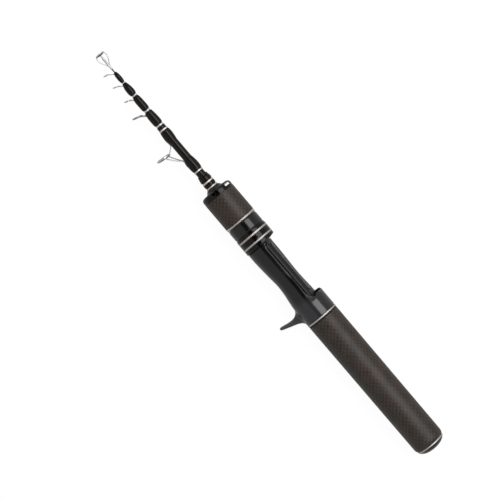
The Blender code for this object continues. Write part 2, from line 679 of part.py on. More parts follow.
def grip(name, stations, radii, parent):
    """A foam core with a bore for the blank, and a woven skin over it."""
    front, back = stations
    core = [(front + GAP, radii[0] - GRIP_SKIN - FIT), (back - GAP, radii[1] - GRIP_SKIN - FIT)]
    bore = [(front + GAP, HANDLE_BORE), (back - GAP, HANDLE_BORE)]
    turned(name + "_core", core, bore, parent, "foam", THICK_SIDES)
    edge = GRIP_EDGE
    skin = [(front, radii[0] - edge), (front + edge, radii[0]), (back - edge, radii[1]), (back, radii[1] - edge)]
    inner = [(front, radii[0] - GRIP_SKIN), (back, radii[1] - GRIP_SKIN)]
    turned(name + "_skin", skin, inner, parent, "woven_grip", THICK_SIDES)


def rear_grip(parent):
    """The long rear grip, whose skin rounds over at the butt."""
    front, back = REAR_GRIP
    front_radius, back_radius = REAR_GRIP_RADIUS
    length, depth = GRIP_ROUND
    bend = back - length - GRIP_SKIN
    rim = back_radius - depth - FIT * 2
    recess = INSERT[0] - GAP
    insert_bore = INSERT_RADIUS + GAP
    core = [(front + GAP, front_radius - GRIP_SKIN - FIT), (bend, back_radius - GRIP_SKIN - FIT),
            (back - GAP, rim - FIT)]
    bore = [(front + GAP, HANDLE_BORE), (recess, HANDLE_BORE), (recess, insert_bore), (back - GAP, insert_bore)]
    turned("rear_grip_core", core, bore, parent, "foam", THICK_SIDES)
    skin = [(front, front_radius - GRIP_EDGE), (front + GRIP_EDGE, front_radius)]
    skin += arc_points((back - length, back_radius - depth), GRIP_ROUND, 90, 10, 4)
    inner = [(front, front_radius - GRIP_SKIN), (bend, back_radius - GRIP_SKIN), (back - GAP, rim)]
    turned("rear_grip_skin", skin, inner, parent, "woven_grip", THICK_SIDES)


def seat_barrel(parent):
    """The seat's inner tube: threaded in front, flat on top where the reel's foot goes."""
    front, back = SEAT
    outer = [(front, THREAD_RADIUS - THREAD_DEPTH)]
    for number in range(THREAD_RIDGES):
        start = front + (number + 0.5) * THREAD_PITCH
        outer.append((start, THREAD_RADIUS - THREAD_DEPTH))
        outer.append((start + THREAD_PITCH / 2, THREAD_RADIUS))
    outer += [(THREAD_END, THREAD_RADIUS - THREAD_DEPTH), (THREAD_END, BARREL_RADIUS), (back, BARREL_RADIUS)]
    made = turned("seat_barrel", outer, [(front, HANDLE_BORE), (back, HANDLE_BORE)], parent, "satin_black", THICK_SIDES)
    above = SEAT_RADIUS + CUT_MARGIN
    flat = block("seat_flat", (FLAT_STATIONS[0], -above, BARREL_FLAT), (FLAT_STATIONS[1], above, above), parent)
    boolean(made, flat, "DIFFERENCE")


def deck_pad(parent):
    """The plate let onto the barrel's flat, which the reel's foot stands on."""
    half = DECK_PAD_WIDTH / 2
    block("deck_pad", (DECK_PAD[0], -half, BARREL_FLAT + FIT), (DECK_PAD[1], half, DECK_PAD_TOP), parent, "satin_black")


# Outside of the seat along the palm, as (station, radius) in millimetres
PALM_OUTLINE = ((199.8, 13.2), (200.2, 13.5), (206.0, 13.5), (212.0, 13.25), (218.0, 12.85), (225.0, 12.3),
                (231.0, 11.75), (235.0, 11.65), (239.0, 11.85), (243.5, 12.3), (249.0, 13.1), (254.0, 13.65),
                (258.0, 13.95), (261.0, 14.0), (272.4, 14.0), (272.6, 13.8))

# Front and back edges of the trigger below the palm, as (station, z) in millimetres
TRIGGER_OUTLINE = ((257.0, -11.5), (257.0, -14.2), (258.6, -15.2), (260.4, -17.2), (261.4, -19.6), (261.8, -22.4),
                   (261.6, -25.6), (261.0, -29.0), (260.2, -32.6), (260.3, -33.8), (261.1, -34.4), (262.1, -34.0),
                   (263.1, -31.8), (264.6, -27.6), (266.0, -23.4), (267.2, -19.8), (268.4, -17.4), (270.0, -15.6),
                   (272.0, -14.6), (272.0, -11.5))


def palm_shell(parent):
    """The lower shell under the palm, open over the deck, with the trigger moulded on."""
    outer = [(s * MM, r * MM) for s, r in PALM_OUTLINE]
    bore = BARREL_RADIUS + GAP
    inner = [(outer[0][0], bore), (outer[-1][0], bore)]
    made = turned("palm_shell", outer, inner, parent, "satin_black", THICK_SIDES)
    trigger = side_outline("trigger_blade", [(s * MM, z * MM) for s, z in TRIGGER_OUTLINE], TRIGGER_HALF_FLAT,
                           TRIGGER_EDGE, parent)
    boolean(made, trigger, "UNION")
    top = SEAT_RADIUS + CUT_MARGIN
    front = outer[0][0] - CUT_MARGIN
    back = outer[-1][0] + CUT_MARGIN
    start = outer[0][0] + LIP_ROUND
    opening = [(front, top), (front, LIP_HEIGHT)]
    opening += arc_points((start, LEDGE_HEIGHT + LIP_ROUND), (LIP_ROUND, LIP_ROUND), 200, 270, 5)
    opening += [(back, LEDGE_HEIGHT), (back, top)]
    cutter = side_outline("palm_opening", opening, top, 0, parent)
    boolean(made, cutter, "DIFFERENCE")


def rear_hood(parent):
    """The fixed upper hood, whose pocket takes the back end of the reel's foot."""
    back = SEAT[1]
    front = REAR_HOOD_FRONT - HOOD_SCOOP[0]
    outer = [(front, SEAT_RADIUS), (back - SEAT_EDGE, SEAT_RADIUS), (back, SEAT_RADIUS - SEAT_EDGE)]
    bore = BARREL_RADIUS + GAP
    made = turned("rear_hood", outer, [(front, bore), (back, bore)], parent, "gloss_black", THICK_SIDES)
    low = LEDGE_HEIGHT + GAP
    reach = SEAT_RADIUS + CUT_MARGIN
    brow = REAR_HOOD_FRONT + HOOD_BROW[0]
    brow_top = SEAT_RADIUS + FIT * 1.5
    cut = [(front - CUT_MARGIN, -reach), (front - CUT_MARGIN, reach), (brow, reach)]
    cut += arc_points((brow, brow_top - HOOD_BROW[1]), HOOD_BROW, 90, 180, 4)
    cut += arc_points((front, low + HOOD_SCOOP[1]), HOOD_SCOOP, 0, -90, 4)
    cut += [(back + CUT_MARGIN, low), (back + CUT_MARGIN, -reach)]
    boolean(made, side_outline("rear_hood_underside", cut, reach, 0, parent), "DIFFERENCE")
    pocket = rod_cylinder("rear_hood_pocket", front - CUT_MARGIN, REAR_HOOD_FRONT + POCKET_DEPTH, POCKET_RADIUS,
                          POCKET_CENTRE, parent, None, THIN_SIDES)
    boolean(made, pocket, "DIFFERENCE")


def hood_group(parent):
    """The moving hood with its two bright bands, and the nut that turns in front of it."""
    hood_axis = new_empty("moving_hood_axis", parent)
    front, back = HOOD
    collar = front + HOOD_COLLAR
    collar_bore = THREAD_RADIUS + GAP
    outer = [(front + forward, HOOD_RADIUS - drop) for forward, drop in HOOD_NOSE]
    sunk = HOOD_RADIUS - BAND_DEPTH
    for start, end in HOOD_BANDS:
        outer += [(start - FIT, HOOD_RADIUS), (start - FIT, sunk), (end + FIT, sunk), (end + FIT, HOOD_RADIUS)]
    outer.append((back, HOOD_RADIUS))
    inner = [(front, collar_bore), (collar, collar_bore), (collar, HOOD_BORE), (back, HOOD_BORE)]
    hood = turned("moving_hood", outer, inner, hood_axis, "gloss_black", THICK_SIDES)
    key = block("moving_hood_key", (front + GAP, -KEY_HALF_WIDTH, BARREL_FLAT + GAP),
                (collar + GAP, KEY_HALF_WIDTH, KEY_TOP), hood_axis)
    boolean(hood, key, "UNION")
    reach = HOOD_RADIUS + CUT_MARGIN
    trim = block("moving_hood_end", (HOOD_TOP_END, -reach, HOOD_TOP_LEVEL), (back + CUT_MARGIN, reach, reach),
                 hood_axis)
    boolean(hood, trim, "DIFFERENCE")
    for number, (start, end) in enumerate(HOOD_BANDS, 1):
        tube("moving_hood_band_%d" % number, start, end, BAND_RADIUS, sunk + FIT, hood_axis, "silver", 0,
             THICK_SIDES)
    nut_axis = new_empty("lock_nut_axis", hood_axis)
    nut_front, nut_back = NUT
    nut_bore = THREAD_RADIUS + FIT * 2
    tube("lock_nut", nut_front, nut_back, NUT_RADIUS, nut_bore, nut_axis, "gloss_black", NUT_EDGE, THICK_SIDES)


def handle_rings(parent):
    """The bright rings at the handle's joints, on arbors round the blank."""
    tube("fore_trim_ring", *FORE_RING, FORE_RING_RADIUS, HANDLE_BORE, parent, "silver", SEAT_EDGE, THICK_SIDES)
    tube("rear_trim_ring", *REAR_RING, REAR_RING_RADIUS, HANDLE_BORE, parent, "silver", GRIP_EDGE, THICK_SIDES)


def butt_group(parent):
    """The threaded insert, and the unscrewing cap with its band, seal and cushion."""
    insert_front, insert_back = INSERT
    blank_bore = section_outer(7, BUTT_BLANK_BACK) + GAP
    plug_bore = PLUG_RADIUS + GAP
    step = BUTT_BLANK_BACK + GAP
    turned("butt_insert", [(insert_front, INSERT_RADIUS), (insert_back, INSERT_RADIUS)],
           [(insert_front, blank_bore), (step, blank_bore), (step, plug_bore), (insert_back, plug_bore)],
           parent, "satin_black", THICK_SIDES)
    band_axis = new_empty("butt_band_axis", parent)
    front, back = BUTT_BAND
    tube("butt_band", front, back, BUTT_BAND_RADIUS, plug_bore, band_axis, "silver", GRIP_EDGE, THICK_SIDES)
    tube("butt_seal", insert_back + FIT, front - FIT, SEAL_RADIUS, plug_bore, band_axis, "rubber")
    cap_axis = new_empty("butt_cap_axis", band_axis)
    pad_front, pad_back = CUSHION
    pad = [(pad_front, 0), (pad_front, CUSHION_RADIUS), (pad_back, CUSHION_RADIUS), (pad_back, 0)]
    turned("butt_cushion", pad, None, cap_axis, "rubber")
    shoulder = back + FIT * 2
    cap = [(pad_back + FIT, 0), (pad_back + FIT, PLUG_RADIUS - PLUG_EDGE), (pad_back + FIT + PLUG_EDGE, PLUG_RADIUS),
           (shoulder, PLUG_RADIUS), (shoulder, CAP_RADIUS)]
    rim = shoulder + GRIP_EDGE
    dome = (CLOSED_LENGTH - rim, CAP_RADIUS - BUTT_FLAT_RADIUS)
    cap += arc_points((rim, BUTT_FLAT_RADIUS), dome, 90, 0, 6)
    cap.append((CLOSED_LENGTH, 0))
    turned("butt_cap", cap, None, cap_axis, "gloss_black", THICK_SIDES)


def build():
    rod = new_empty("rod_axis")
    rod.location = (0, AXIS_Y, BAND_RADIUS)
    rod.rotation_euler = (ROLL, 0, 0)
    butt_section(rod)
    front_cap(rod)
    grip("fore_grip", FORE_GRIP, (GRIP_RADIUS, GRIP_RADIUS), rod)
    handle_rings(rod)
    seat_barrel(rod)
    deck_pad(rod)
    palm_shell(rod)
    rear_hood(rod)
    hood_group(rod)
    rear_grip(rod)
    butt_group(rod)
    section_six(rod)
    for section in range(5, 1, -1):
        sliding_section(section, rod)
    tip_section(new_empty("tip_axis", rod))


build()
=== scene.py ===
"""Looks of a closed telescopic casting rod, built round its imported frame.

Pieces are drawn in the rod frame: +X runs from the tip to the butt, +Z leaves the reel deck, and -Z runs
through the trigger and the guides. ROD carries that frame to its place on the ground. A station is a distance
from the front of the tip ring, and a turn is an angle about the rod's axis from +Z towards -Y. In metres.
"""

import json
import math

import bmesh
import bpy
from mathutils import Matrix, Vector


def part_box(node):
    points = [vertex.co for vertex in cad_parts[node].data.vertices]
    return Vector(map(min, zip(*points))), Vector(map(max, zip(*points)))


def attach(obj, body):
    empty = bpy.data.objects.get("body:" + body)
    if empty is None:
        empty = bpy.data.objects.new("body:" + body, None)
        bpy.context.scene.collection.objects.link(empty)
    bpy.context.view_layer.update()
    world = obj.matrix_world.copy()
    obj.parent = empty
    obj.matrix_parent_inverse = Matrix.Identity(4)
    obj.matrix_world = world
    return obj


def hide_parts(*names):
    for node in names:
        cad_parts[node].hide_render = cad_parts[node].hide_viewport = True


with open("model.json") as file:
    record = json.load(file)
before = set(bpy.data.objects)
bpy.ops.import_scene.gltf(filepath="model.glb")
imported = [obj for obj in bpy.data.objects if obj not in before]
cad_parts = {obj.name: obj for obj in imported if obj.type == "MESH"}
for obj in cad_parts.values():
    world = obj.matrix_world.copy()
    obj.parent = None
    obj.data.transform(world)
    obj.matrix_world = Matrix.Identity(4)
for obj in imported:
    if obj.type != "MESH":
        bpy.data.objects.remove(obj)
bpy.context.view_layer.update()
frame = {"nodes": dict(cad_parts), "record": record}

MM = 0.001
HALF_LENGTH = 206.7 * MM
FIT = 0.06 * MM

# Lean of the rod as it rests on its hood and on the trigger's rounded corner. Sizes in millimetres
TRIGGER_HALF_FLAT = 1.6
TRIGGER_CORNER = 33.0
HOOD_LESS_CORNER = 12.75
LEAN = (math.asin(HOOD_LESS_CORNER / math.hypot(TRIGGER_HALF_FLAT, TRIGGER_CORNER))
        - math.atan2(TRIGGER_HALF_FLAT, TRIGGER_CORNER))
ROLL = LEAN - math.radians(90)

RECORD = frame["record"]
BODY_OF = {node: body for body, nodes in RECORD["behaviour"]["bodies"].items() for node in nodes}
SLOT_OF = {part["node"]: part["material_slot"] for part in RECORD["subparts"]}

ring_low, ring_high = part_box("fore_trim_ring")
AXIS = (ring_low + ring_high) / 2
ROD = Matrix.Translation((0, AXIS.y, AXIS.z)) @ Matrix.Rotation(ROLL, 4, "X")
TIP_TURN = -(math.radians(90) + LEAN)


def along(station):
    """X of a station in the rod frame."""
    return station - HALF_LENGTH


# Materials

class Tree:
    """A node tree, with short calls for the nodes that it uses."""

    def __init__(self, owner):
        owner.use_nodes = True
        self.nodes = owner.node_tree.nodes
        self.links = owner.node_tree.links

    def plug(self, value, socket):
        if isinstance(value, bpy.types.NodeSocket):
            self.links.new(value, socket)
        else:
            socket.default_value = value

    def add(self, kind, plugs=None, **settings):
        """The outputs of a new node, whose inputs take a value or another node's output."""
        node = self.nodes.new("ShaderNode" + kind)
        for setting, value in settings.items():
            setattr(node, setting, value)
        for label, value in (plugs or {}).items():
            self.plug(value, node.inputs[label])
        return node.outputs

    def maths(self, operation, first, second=0.0, clamp=False):
        return self.add("Math", {0: first, 1: second}, operation=operation, use_clamp=clamp)[0]

    def plus(self, first, second, clamp=False):
        return self.maths("ADD", first, second, clamp)

    def times(self, first, second):
        return self.maths("MULTIPLY", first, second)

    def wave(self, value):
        """Half a sine wave over each whole step of a value."""
        return self.maths("SINE", self.times(self.maths("FRACT", value), math.pi))

    def ranged(self, value, low, high, start=0.0, end=1.0, kind="LINEAR"):
        plugs = {"Value": value, "From Min": start, "From Max": end, "To Min": low, "To Max": high}
        return self.add("MapRange", plugs, interpolation_type=kind)["Result"]

    def shader_mix(self, share, first, second, output):
        """Send a mix of two shaders to the tree's output node."""
        mix = self.add("MixShader", {0: share, 1: first, 2: second})[0]
        self.links.new(mix, self.nodes[output].inputs["Surface"])


class Look(Tree):
    """One material's node tree, round its one shader."""

    def __init__(self, name, colour, roughness, **fixed):
        self.material = bpy.data.materials.new(name)
        super().__init__(self.material)
        self.shader = self.nodes["Principled BSDF"].inputs
        self.shader["Base Color"].default_value = (*colour, 1)
        self.shader["Roughness"].default_value = roughness
        for label, value in fixed.items():
            self.shader[label.replace("_", " ")].default_value = value
        self.place = self.add("TexCoord")

    def uv(self):
        """Turns round the axis, and millimetres along the outline."""
        split = self.add("SeparateXYZ", {0: self.place["UV"]})
        return split[0], split[1]

    def noise(self, scale, detail=2.0, stretch=(1, 1, 1), roughness=0.5):
        place = self.add("Mapping", {"Scale": stretch, "Vector": self.place["Object"]})[0]
        plugs = {"Scale": scale, "Detail": detail, "Roughness": roughness, "Vector": place}
        return self.add("TexNoise", plugs)["Fac"]

    def mixed(self, factor, first, second):
        first, second = [(*value, 1) if isinstance(value, tuple) else value for value in (first, second)]
        return self.add("Mix", {"Factor": factor, 6: first, 7: second}, data_type="RGBA")[2]

    def colour(self, value):
        self.links.new(value, self.shader["Base Color"])

    def roughness(self, value):
        self.links.new(value, self.shader["Roughness"])

    def bump(self, height, distance, strength=1.0):
        normal = self.add("Bump", {"Strength": strength, "Distance": distance, "Height": height})[0]
        self.links.new(normal, self.shader["Normal"])


# Finishes: mean roughness, scale of the colour's unevenness, scale and detail of the gloss's unevenness,
# least and most roughness, and the grain's scale and depth
GLOSSY = (0.12, 180, 900, 3, 0.1, 0.2, 260, 0.00001)
SATIN = (0.3, 220, 1200, 2, 0.15, 0.23, 5200, 0.000012)
DULL = (0.5, 260, 900, 2, 0.44, 0.56, 3200, 0.00001)


def plastic(name, colour, tint, shine, finish):
    """Moulded or lacquered black: a faint unevenness of colour and gloss, as handled parts have."""
    mean, blotch, patch, detail, low, high, grain, depth = finish
    look = Look(name, colour, mean, Specular_IOR_Level=shine)
    look.colour(look.mixed(look.noise(blotch, 3), colour, tint))
    look.roughness(look.ranged(look.noise(patch, detail), low, high, 0.3, 0.7))
    look.bump(look.noise(grain, 1), depth)
    return look.material


def palm_plastic(name, gloss, satin, smear, blade_painted_light):
    """Polished under the palm and satin round the trigger, with painted light that makes the trigger paler
    towards its tip.
    """
    look = Look(name, gloss, 0.15, Specular_IOR_Level=0.55)
    split = look.add("SeparateXYZ", {0: look.place["Object"]})
    share = look.ranged(split[0], 0.0, 1.0, along(252.5 * MM), along(257.5 * MM))
    colour = look.mixed(share, gloss, satin)
    colour = look.mixed(look.times(look.noise(200, 3), 0.3), colour, smear)
    # Painted light: the colour grows paler towards the trigger's tip, where light falls on it
    look.colour(look.mixed(look.ranged(split[1], 0.0, 1.0, -6 * MM, -14 * MM), colour, blade_painted_light))
    look.roughness(look.plus(look.ranged(look.noise(900, 2), 0.12, 0.18), look.times(share, 0.06)))
    look.bump(look.noise(3600, 1), 0.000006)
    return look.material


def woven_grip(name, colour, light, cool, cells, pitch):
    """Plain weave under a satin coat, its light and dark cells and lighter tow crowns partly the weave's
    pattern and partly painted sheen. Cells go round the grip; pitch is in millimetres.
    """
    look = Look(name, colour, 0.5, Specular_IOR_Level=0.4)
    turn, run = look.uv()
    round_count = look.times(turn, float(cells))
    down_count = look.maths("DIVIDE", run, pitch)
    cell = look.plus(look.maths("FLOOR", round_count), look.maths("FLOOR", down_count))
    parity = look.maths("ABSOLUTE", look.maths("MODULO", cell, 2.0))
    over = look.times(look.wave(round_count), parity)
    under = look.times(look.wave(down_count), look.maths("SUBTRACT", 1.0, parity))
    crown = look.plus(over, under)
    cast = look.ranged(look.noise(120, 3), -0.1, 0.35, 0.35, 0.65)
    twill = look.times(look.wave(look.times(look.plus(round_count, down_count), 0.5)), 0.3)
    # Painted sheen: alternate cells and each tow's crown are coloured lighter, as the fibres' reflection
    # would show them
    shade = look.plus(look.times(parity, 0.7), look.times(crown, 0.15))
    shade = look.plus(look.plus(shade, cast), twill, True)
    cool_sheen = tuple(c * 5 for c in cool)
    hue = look.ranged(look.noise(75, 2), 0.0, 0.75, 0.4, 0.62)
    look.colour(look.mixed(hue, look.mixed(shade, colour, light), look.mixed(shade, cool, cool_sheen)))
    look.roughness(look.ranged(crown, 0.52, 0.42))
    look.bump(crown, 0.00006, 0.8)
    return look.material


def thread_wrap(name, colour, light, threads_per_mm):
    """Black thread wound round the blank under clear epoxy, whose surface stays smooth."""
    look = Look(name, colour, 0.4, Coat_Weight=0.36, Coat_Roughness=0.06, Specular_IOR_Level=0.05)
    turn, run = look.uv()
    ridge = look.wave(look.plus(look.times(run, threads_per_mm), turn))
    look.colour(look.mixed(look.times(ridge, 0.7), colour, light))
    look.bump(ridge, 0.00003, 0.6)
    return look.material


def blank_lacquer(name, colour, light):
    """Graphite blank under gloss lacquer: its fibres run along the rod."""
    look = Look(name, colour, 0.4, Coat_Weight=0.42, Coat_Roughness=0.07, Specular_IOR_Level=0.05)
    fibre = look.noise(420, 4, (0.08, 4, 4))
    look.colour(look.mixed(look.ranged(fibre, 0.0, 0.8, 0.3, 0.7), colour, light))
    look.roughness(look.ranged(fibre, 0.24, 0.34))
    return look.material


def turned_metal(name, colour, shade, low, high, spin=30.0):
    """Metal turned on a lathe, with fine marks that run round the axis."""
    look = Look(name, colour, low, Metallic=1.0)
    marks = look.noise(260, 4, (spin, 0.6, 0.6), 0.6)
    look.colour(look.mixed(look.ranged(marks, 0.0, 1.0, 0.3, 0.7), colour, shade))
    look.roughness(look.ranged(marks, low, high, 0.3, 0.7))
    look.bump(marks, 0.000006)
    return look.material


def plain_rubber(name, colour, light):
    """Matt black foam or rubber with a fine grain."""
    look = Look(name, colour, 0.85, Specular_IOR_Level=0.25)
    grain = look.noise(2600, 3)
    look.colour(look.mixed(look.ranged(grain, 0.0, 1.0, 0.35, 0.65), colour, light))
    look.bump(grain, 0.00006)
    return look.material


LOOKS = {
    "blank_gloss": blank_lacquer("blank_lacquer", (0.005, 0.0036, 0.003), (0.012, 0.0088, 0.0076)),
    "thread_wrap": thread_wrap("wound_thread", (0.0045, 0.003, 0.0022), (0.01, 0.0068, 0.0055), 5.0),
    "trim_metal": turned_metal("trim_metal", (0.6, 0.56, 0.54), (0.48, 0.45, 0.43), 0.53, 0.63),
    "check_metal": turned_metal("check_metal", (0.82, 0.79, 0.77), (0.68, 0.65, 0.63), 0.5, 0.62),
    "gloss_black": plastic("gloss_black", (0.0035, 0.003, 0.0035), (0.007, 0.006, 0.0066), 0.55, GLOSSY),
    "deep_black": plastic("deep_black", (0.0022, 0.0017, 0.0014), (0.0042, 0.0032, 0.0026), 0.3, GLOSSY),
    "hood_black": plastic("hood_black", (0.0075, 0.0066, 0.008), (0.0125, 0.011, 0.013), 0.66, GLOSSY),
    "seat_satin": plastic("seat_satin", (0.0125, 0.0112, 0.0132), (0.0185, 0.0166, 0.0195), 0.5, SATIN),
    # The palm shell's last colour is painted light, for the trigger's paler tip
    "palm_shell": palm_plastic("palm_plastic", (0.0035, 0.003, 0.0034), (0.023, 0.0205, 0.024),
                               (0.012, 0.011, 0.0125), (0.047, 0.0445, 0.048)),
    "seat_tube": plastic("seat_tube", (0.008, 0.0078, 0.008), (0.013, 0.0128, 0.0132), 0.4, DULL),
    # The grip's second colour is the painted sheen of its lit cells
    "woven_grip": woven_grip("woven_grip", (0.0065, 0.0035, 0.0024), (0.0455, 0.028, 0.0215),
                             (0.006, 0.0056, 0.0038), 44, 2.0),
    "grip_foam": plain_rubber("grip_foam", (0.02, 0.02, 0.02), (0.035, 0.035, 0.035)),
    "guide_steel": turned_metal("guide_steel", (0.76, 0.75, 0.74), (0.62, 0.61, 0.6), 0.36, 0.48, 3.0),
    # Guide 4's steel is a darker copy of the guide steel: painted shade
    "shaded_steel": turned_metal("shaded_steel", (0.46, 0.45, 0.44), (0.34, 0.335, 0.33), 0.36, 0.48, 3.0),
    "guide_ring": plastic("guide_ring", (0.02, 0.02, 0.022), (0.035, 0.035, 0.038), 0.55, GLOSSY),
    "rubber": plain_rubber("rubber", (0.012, 0.012, 0.012), (0.022, 0.022, 0.022)),
}


# Drawing tools

def mixed_pair(first, second, share):
    return tuple(a + (b - a) * share for a, b in zip(first, second))


def eased(points, size=0.15 * MM, closed=True, steps=3, least=20):
    """The same outline with each corner sharper than least degrees rounded off."""
    count = len(points)
    made = []
    for i, point in enumerate(points):
        before = points[i - 1]
        after = points[(i + 1) % count]
        if not closed and i in (0, count - 1):
            made.append(point)
            continue
        back = Vector(before) - Vector(point)
        ahead = Vector(after) - Vector(point)
        if back.length < 1e-9 or ahead.length < 1e-9:
            continue
        turn = 180 - math.degrees(back.angle(ahead))
        if turn < least:
            made.append(point)
            continue
        reach = min(size, 0.45 * back.length, 0.45 * ahead.length)
        start = Vector(point) + back.normalized() * reach
        end = Vector(point) + ahead.normalized() * reach
        for k in range(steps + 1):
            share = k / steps
            low = start.lerp(Vector(point), share)
            high = Vector(point).lerp(end, share)
            made.append(tuple(low.lerp(high, share)))
    return made


def curved(points, steps):
    """A smooth line through the points, with steps pieces between each two."""
    made = []
    for i in range(len(points) - 1):
        p1 = Vector(points[i])
        p2 = Vector(points[i + 1])
        p0 = Vector(points[i - 1]) if i else p1 * 2 - p2
        p3 = Vector(points[i + 2]) if i + 2 < len(points) else p2 * 2 - p1
        for k in range(steps):
            t = k / steps
            point = (p1 * 2 + (p2 - p0) * t + (p0 * 2 - p1 * 5 + p2 * 4 - p3) * t * t
                     + (p1 * 3 - p0 - p2 * 3 + p3) * t ** 3) / 2
            made.append(tuple(point))
    made.append(tuple(points[-1]))
    return made


def arc(centre, radii, start, end, steps):
    """Points of an ellipse's arc, in degrees from the first axis towards the second."""
    made = []
    for k in range(steps + 1):
        angle = math.radians(start + (end - start) * k / steps)
        made.append((centre[0] + radii[0] * math.cos(angle), centre[1] + radii[1] * math.sin(angle)))
    return made


def in_mm(points):
    return [tuple(c * MM for c in point) for point in points]


def new_object(name, mesh, place):
    made = bpy.data.objects.new(name, mesh)
    bpy.context.scene.collection.objects.link(made)
    made.matrix_world = place
    return made


def shape_to_object(shape, name, place=ROD, sharp=35):
    """A closed mesh object with outward faces, smooth but for its edges sharper than sharp degrees."""
    bmesh.ops.recalc_face_normals(shape, faces=shape.faces)
    mesh = bpy.data.meshes.new(name)
    shape.to_mesh(mesh)
    shape.free()
    smooth_by_angle(mesh, sharp)
    return new_object(name, mesh, place)


def smooth_by_angle(mesh, sharp):
    mesh.shade_smooth()
    mesh.set_sharp_from_angle(angle=math.radians(sharp))


def grid_faces(shape, rows, run=None, closed=False):
    """Quads between closed rows of vertices, with turns and each row's run as UVs. One vertex is a pole."""
    layer = shape.loops.layers.uv.verify()
    run = run or [float(i) for i in range(len(rows) + 1)]
    for i in range(len(rows) if closed else len(rows) - 1):
        first = rows[i]
        second = rows[(i + 1) % len(rows)]
        width = max(len(first), len(second))
        if width == 1:
            continue
        for k in range(width):
            after = (k + 1) % width
            corners = []
            for row, column, u, v in ((first, k, k, i), (first, after, k + 1, i),
                                      (second, after, k + 1, i + 1), (second, k, k, i + 1)):
                vertex = row[0] if len(row) == 1 else row[column]
                if vertex not in [c[0] for c in corners]:
                    corners.append((vertex, (u / width, run[v])))
            face = shape.faces.new([c[0] for c in corners])
            for loop, (_, uv) in zip(face.loops, corners):
                loop[layer].uv = uv


def around(radius, turn):
    """The (y, z) of a point at a radius and a turn."""
    return -radius * math.sin(turn), radius * math.cos(turn)


def bow(radius, start, end, steps):
    """The (y, z) of points at one radius from a first turn to a last."""
    return [around(radius, start + (end - start) * k / steps) for k in range(steps + 1)]


def widened(point, scale):
    """A point moved away from the axis or towards it."""
    return Vector((point.x, point.y * scale, point.z * scale))


def thread_wave(turns, angle):
    """How far a thread stands out at an angle, from 0 to 1, after so many turns of its helix."""
    return 0.5 + 0.5 * math.cos(2 * math.pi * (turns - angle / (2 * math.pi)))


def lathe(name, outline, sides, place=ROD, warp=None, sharp=35):
    """A body turned from a closed outline of (station, radius), or one that starts and ends on the axis."""
    shape = bmesh.new()
    rows = []
    for station, radius in outline:
        if radius == 0:
            rows.append([shape.verts.new((along(station), 0, 0))])
            continue
        row = []
        for k in range(sides):
            angle = 2 * math.pi * k / sides
            point = (along(station), *around(radius, angle))
            if warp:
                point = warp(Vector(point), angle, radius)
            row.append(shape.verts.new(point))
        rows.append(row)
    lengths = [0.0]
    for before, after in zip(outline, outline[1:] + outline[:1]):
        lengths.append(lengths[-1] + (Vector(after) - Vector(before)).length / MM)
    grid_faces(shape, rows, lengths, closed=outline[0][1] != 0)
    return shape_to_object(shape, name, place, sharp)


def lofted(name, rows, run=None, place=ROD, sharp=35):
    """A body through rows of points, whose ends are closed by a face or run to a point."""
    shape = bmesh.new()
    rows = [[shape.verts.new(point) for point in row] for row in rows]
    for end in (rows[0], rows[-1]):
        if len(end) > 1:
            shape.faces.new(end)
    grid_faces(shape, rows, run)
    return shape_to_object(shape, name, place, sharp)


def ring_outline(front, back, radius, bore, edge):
    """Outline of a plain ring or tube with rounded edges."""
    return eased([(front, radius), (back, radius), (back, bore), (front, bore)], edge)


def swept(name, path, halves, sides=12, across=(0, 1, 0), place=ROD):
    """A bar along a path of (station, y, z). Halves holds its half width along across and its half depth, as
    one pair or as a pair for each point."""
    points = [Vector((along(s), y, z)) for s, y, z in path]
    count = len(points)
    if isinstance(halves, tuple):
        halves = [halves] * count
    rows = [[points[0]]]
    for i, point in enumerate(points):
        ahead = points[min(i + 1, count - 1)] - points[max(i - 1, 0)]
        ahead.normalize()
        side = Vector(across) - ahead * ahead.dot(Vector(across))
        side.normalize()
        rise = ahead.cross(side)
        width, depth = halves[i]
        row = []
        for k in range(sides):
            angle = 2 * math.pi * k / sides
            row.append(point + side * (width * math.cos(angle)) + rise * (depth * math.sin(angle)))
        rows.append(row)
    rows.append([points[-1]])
    return lofted(name, rows, place=place)


def box(name, low, high):
    """A plain box between two corners given as (station, y, z), for cutting."""
    shape = bmesh.new()
    bmesh.ops.create_cube(shape, size=1)
    middle = (Vector(low) + Vector(high)) / 2
    bmesh.ops.scale(shape, vec=Vector(high) - Vector(low), verts=shape.verts)
    bmesh.ops.translate(shape, vec=(along(middle.x), middle.y, middle.z), verts=shape.verts)
    return shape_to_object(shape, name)


def pushed(name, outline, low, high, turn=0.0, upward=False):
    """A closed outline pushed from low to high, then turned: (station, z) along Y, or (station, y) upward."""
    shape = bmesh.new()
    ends = []
    for level in (low, high):
        points = [(along(s), c, level) if upward else (along(s), level, c) for s, c in outline]
        ends.append([shape.verts.new(point) for point in points])
    near, far = ends
    shape.faces.new(near)
    shape.faces.new(list(reversed(far)))
    count = len(outline)
    for i in range(count):
        after = (i + 1) % count
        shape.faces.new((near[i], far[i], far[after], near[after]))
    bmesh.ops.rotate(shape, verts=shape.verts, matrix=Matrix.Rotation(turn, 3, "X"))
    return shape_to_object(shape, name)


def combined(base, others, operation, sharp=35):
    """Cut the others out of the base or join them to it, as one clean mesh."""
    for other in others:
        change = base.modifiers.new(operation, "BOOLEAN")
        change.operation = operation
        change.solver = "EXACT"
        change.object = other
    bpy.context.view_layer.update()
    graph = bpy.context.evaluated_depsgraph_get()
    mesh = bpy.data.meshes.new_from_object(base.evaluated_get(graph))
    base.modifiers.clear()
    base.data = mesh
    shape = bmesh.new()
    shape.from_mesh(mesh)
    bmesh.ops.remove_doubles(shape, verts=shape.verts, dist=1e-7)
    bmesh.ops.dissolve_degenerate(shape, edges=shape.edges, dist=1e-7)
    shape.to_mesh(mesh)
    shape.free()
    smooth_by_angle(mesh, sharp)
    for other in others:
        bpy.data.objects.remove(other, do_unlink=True)


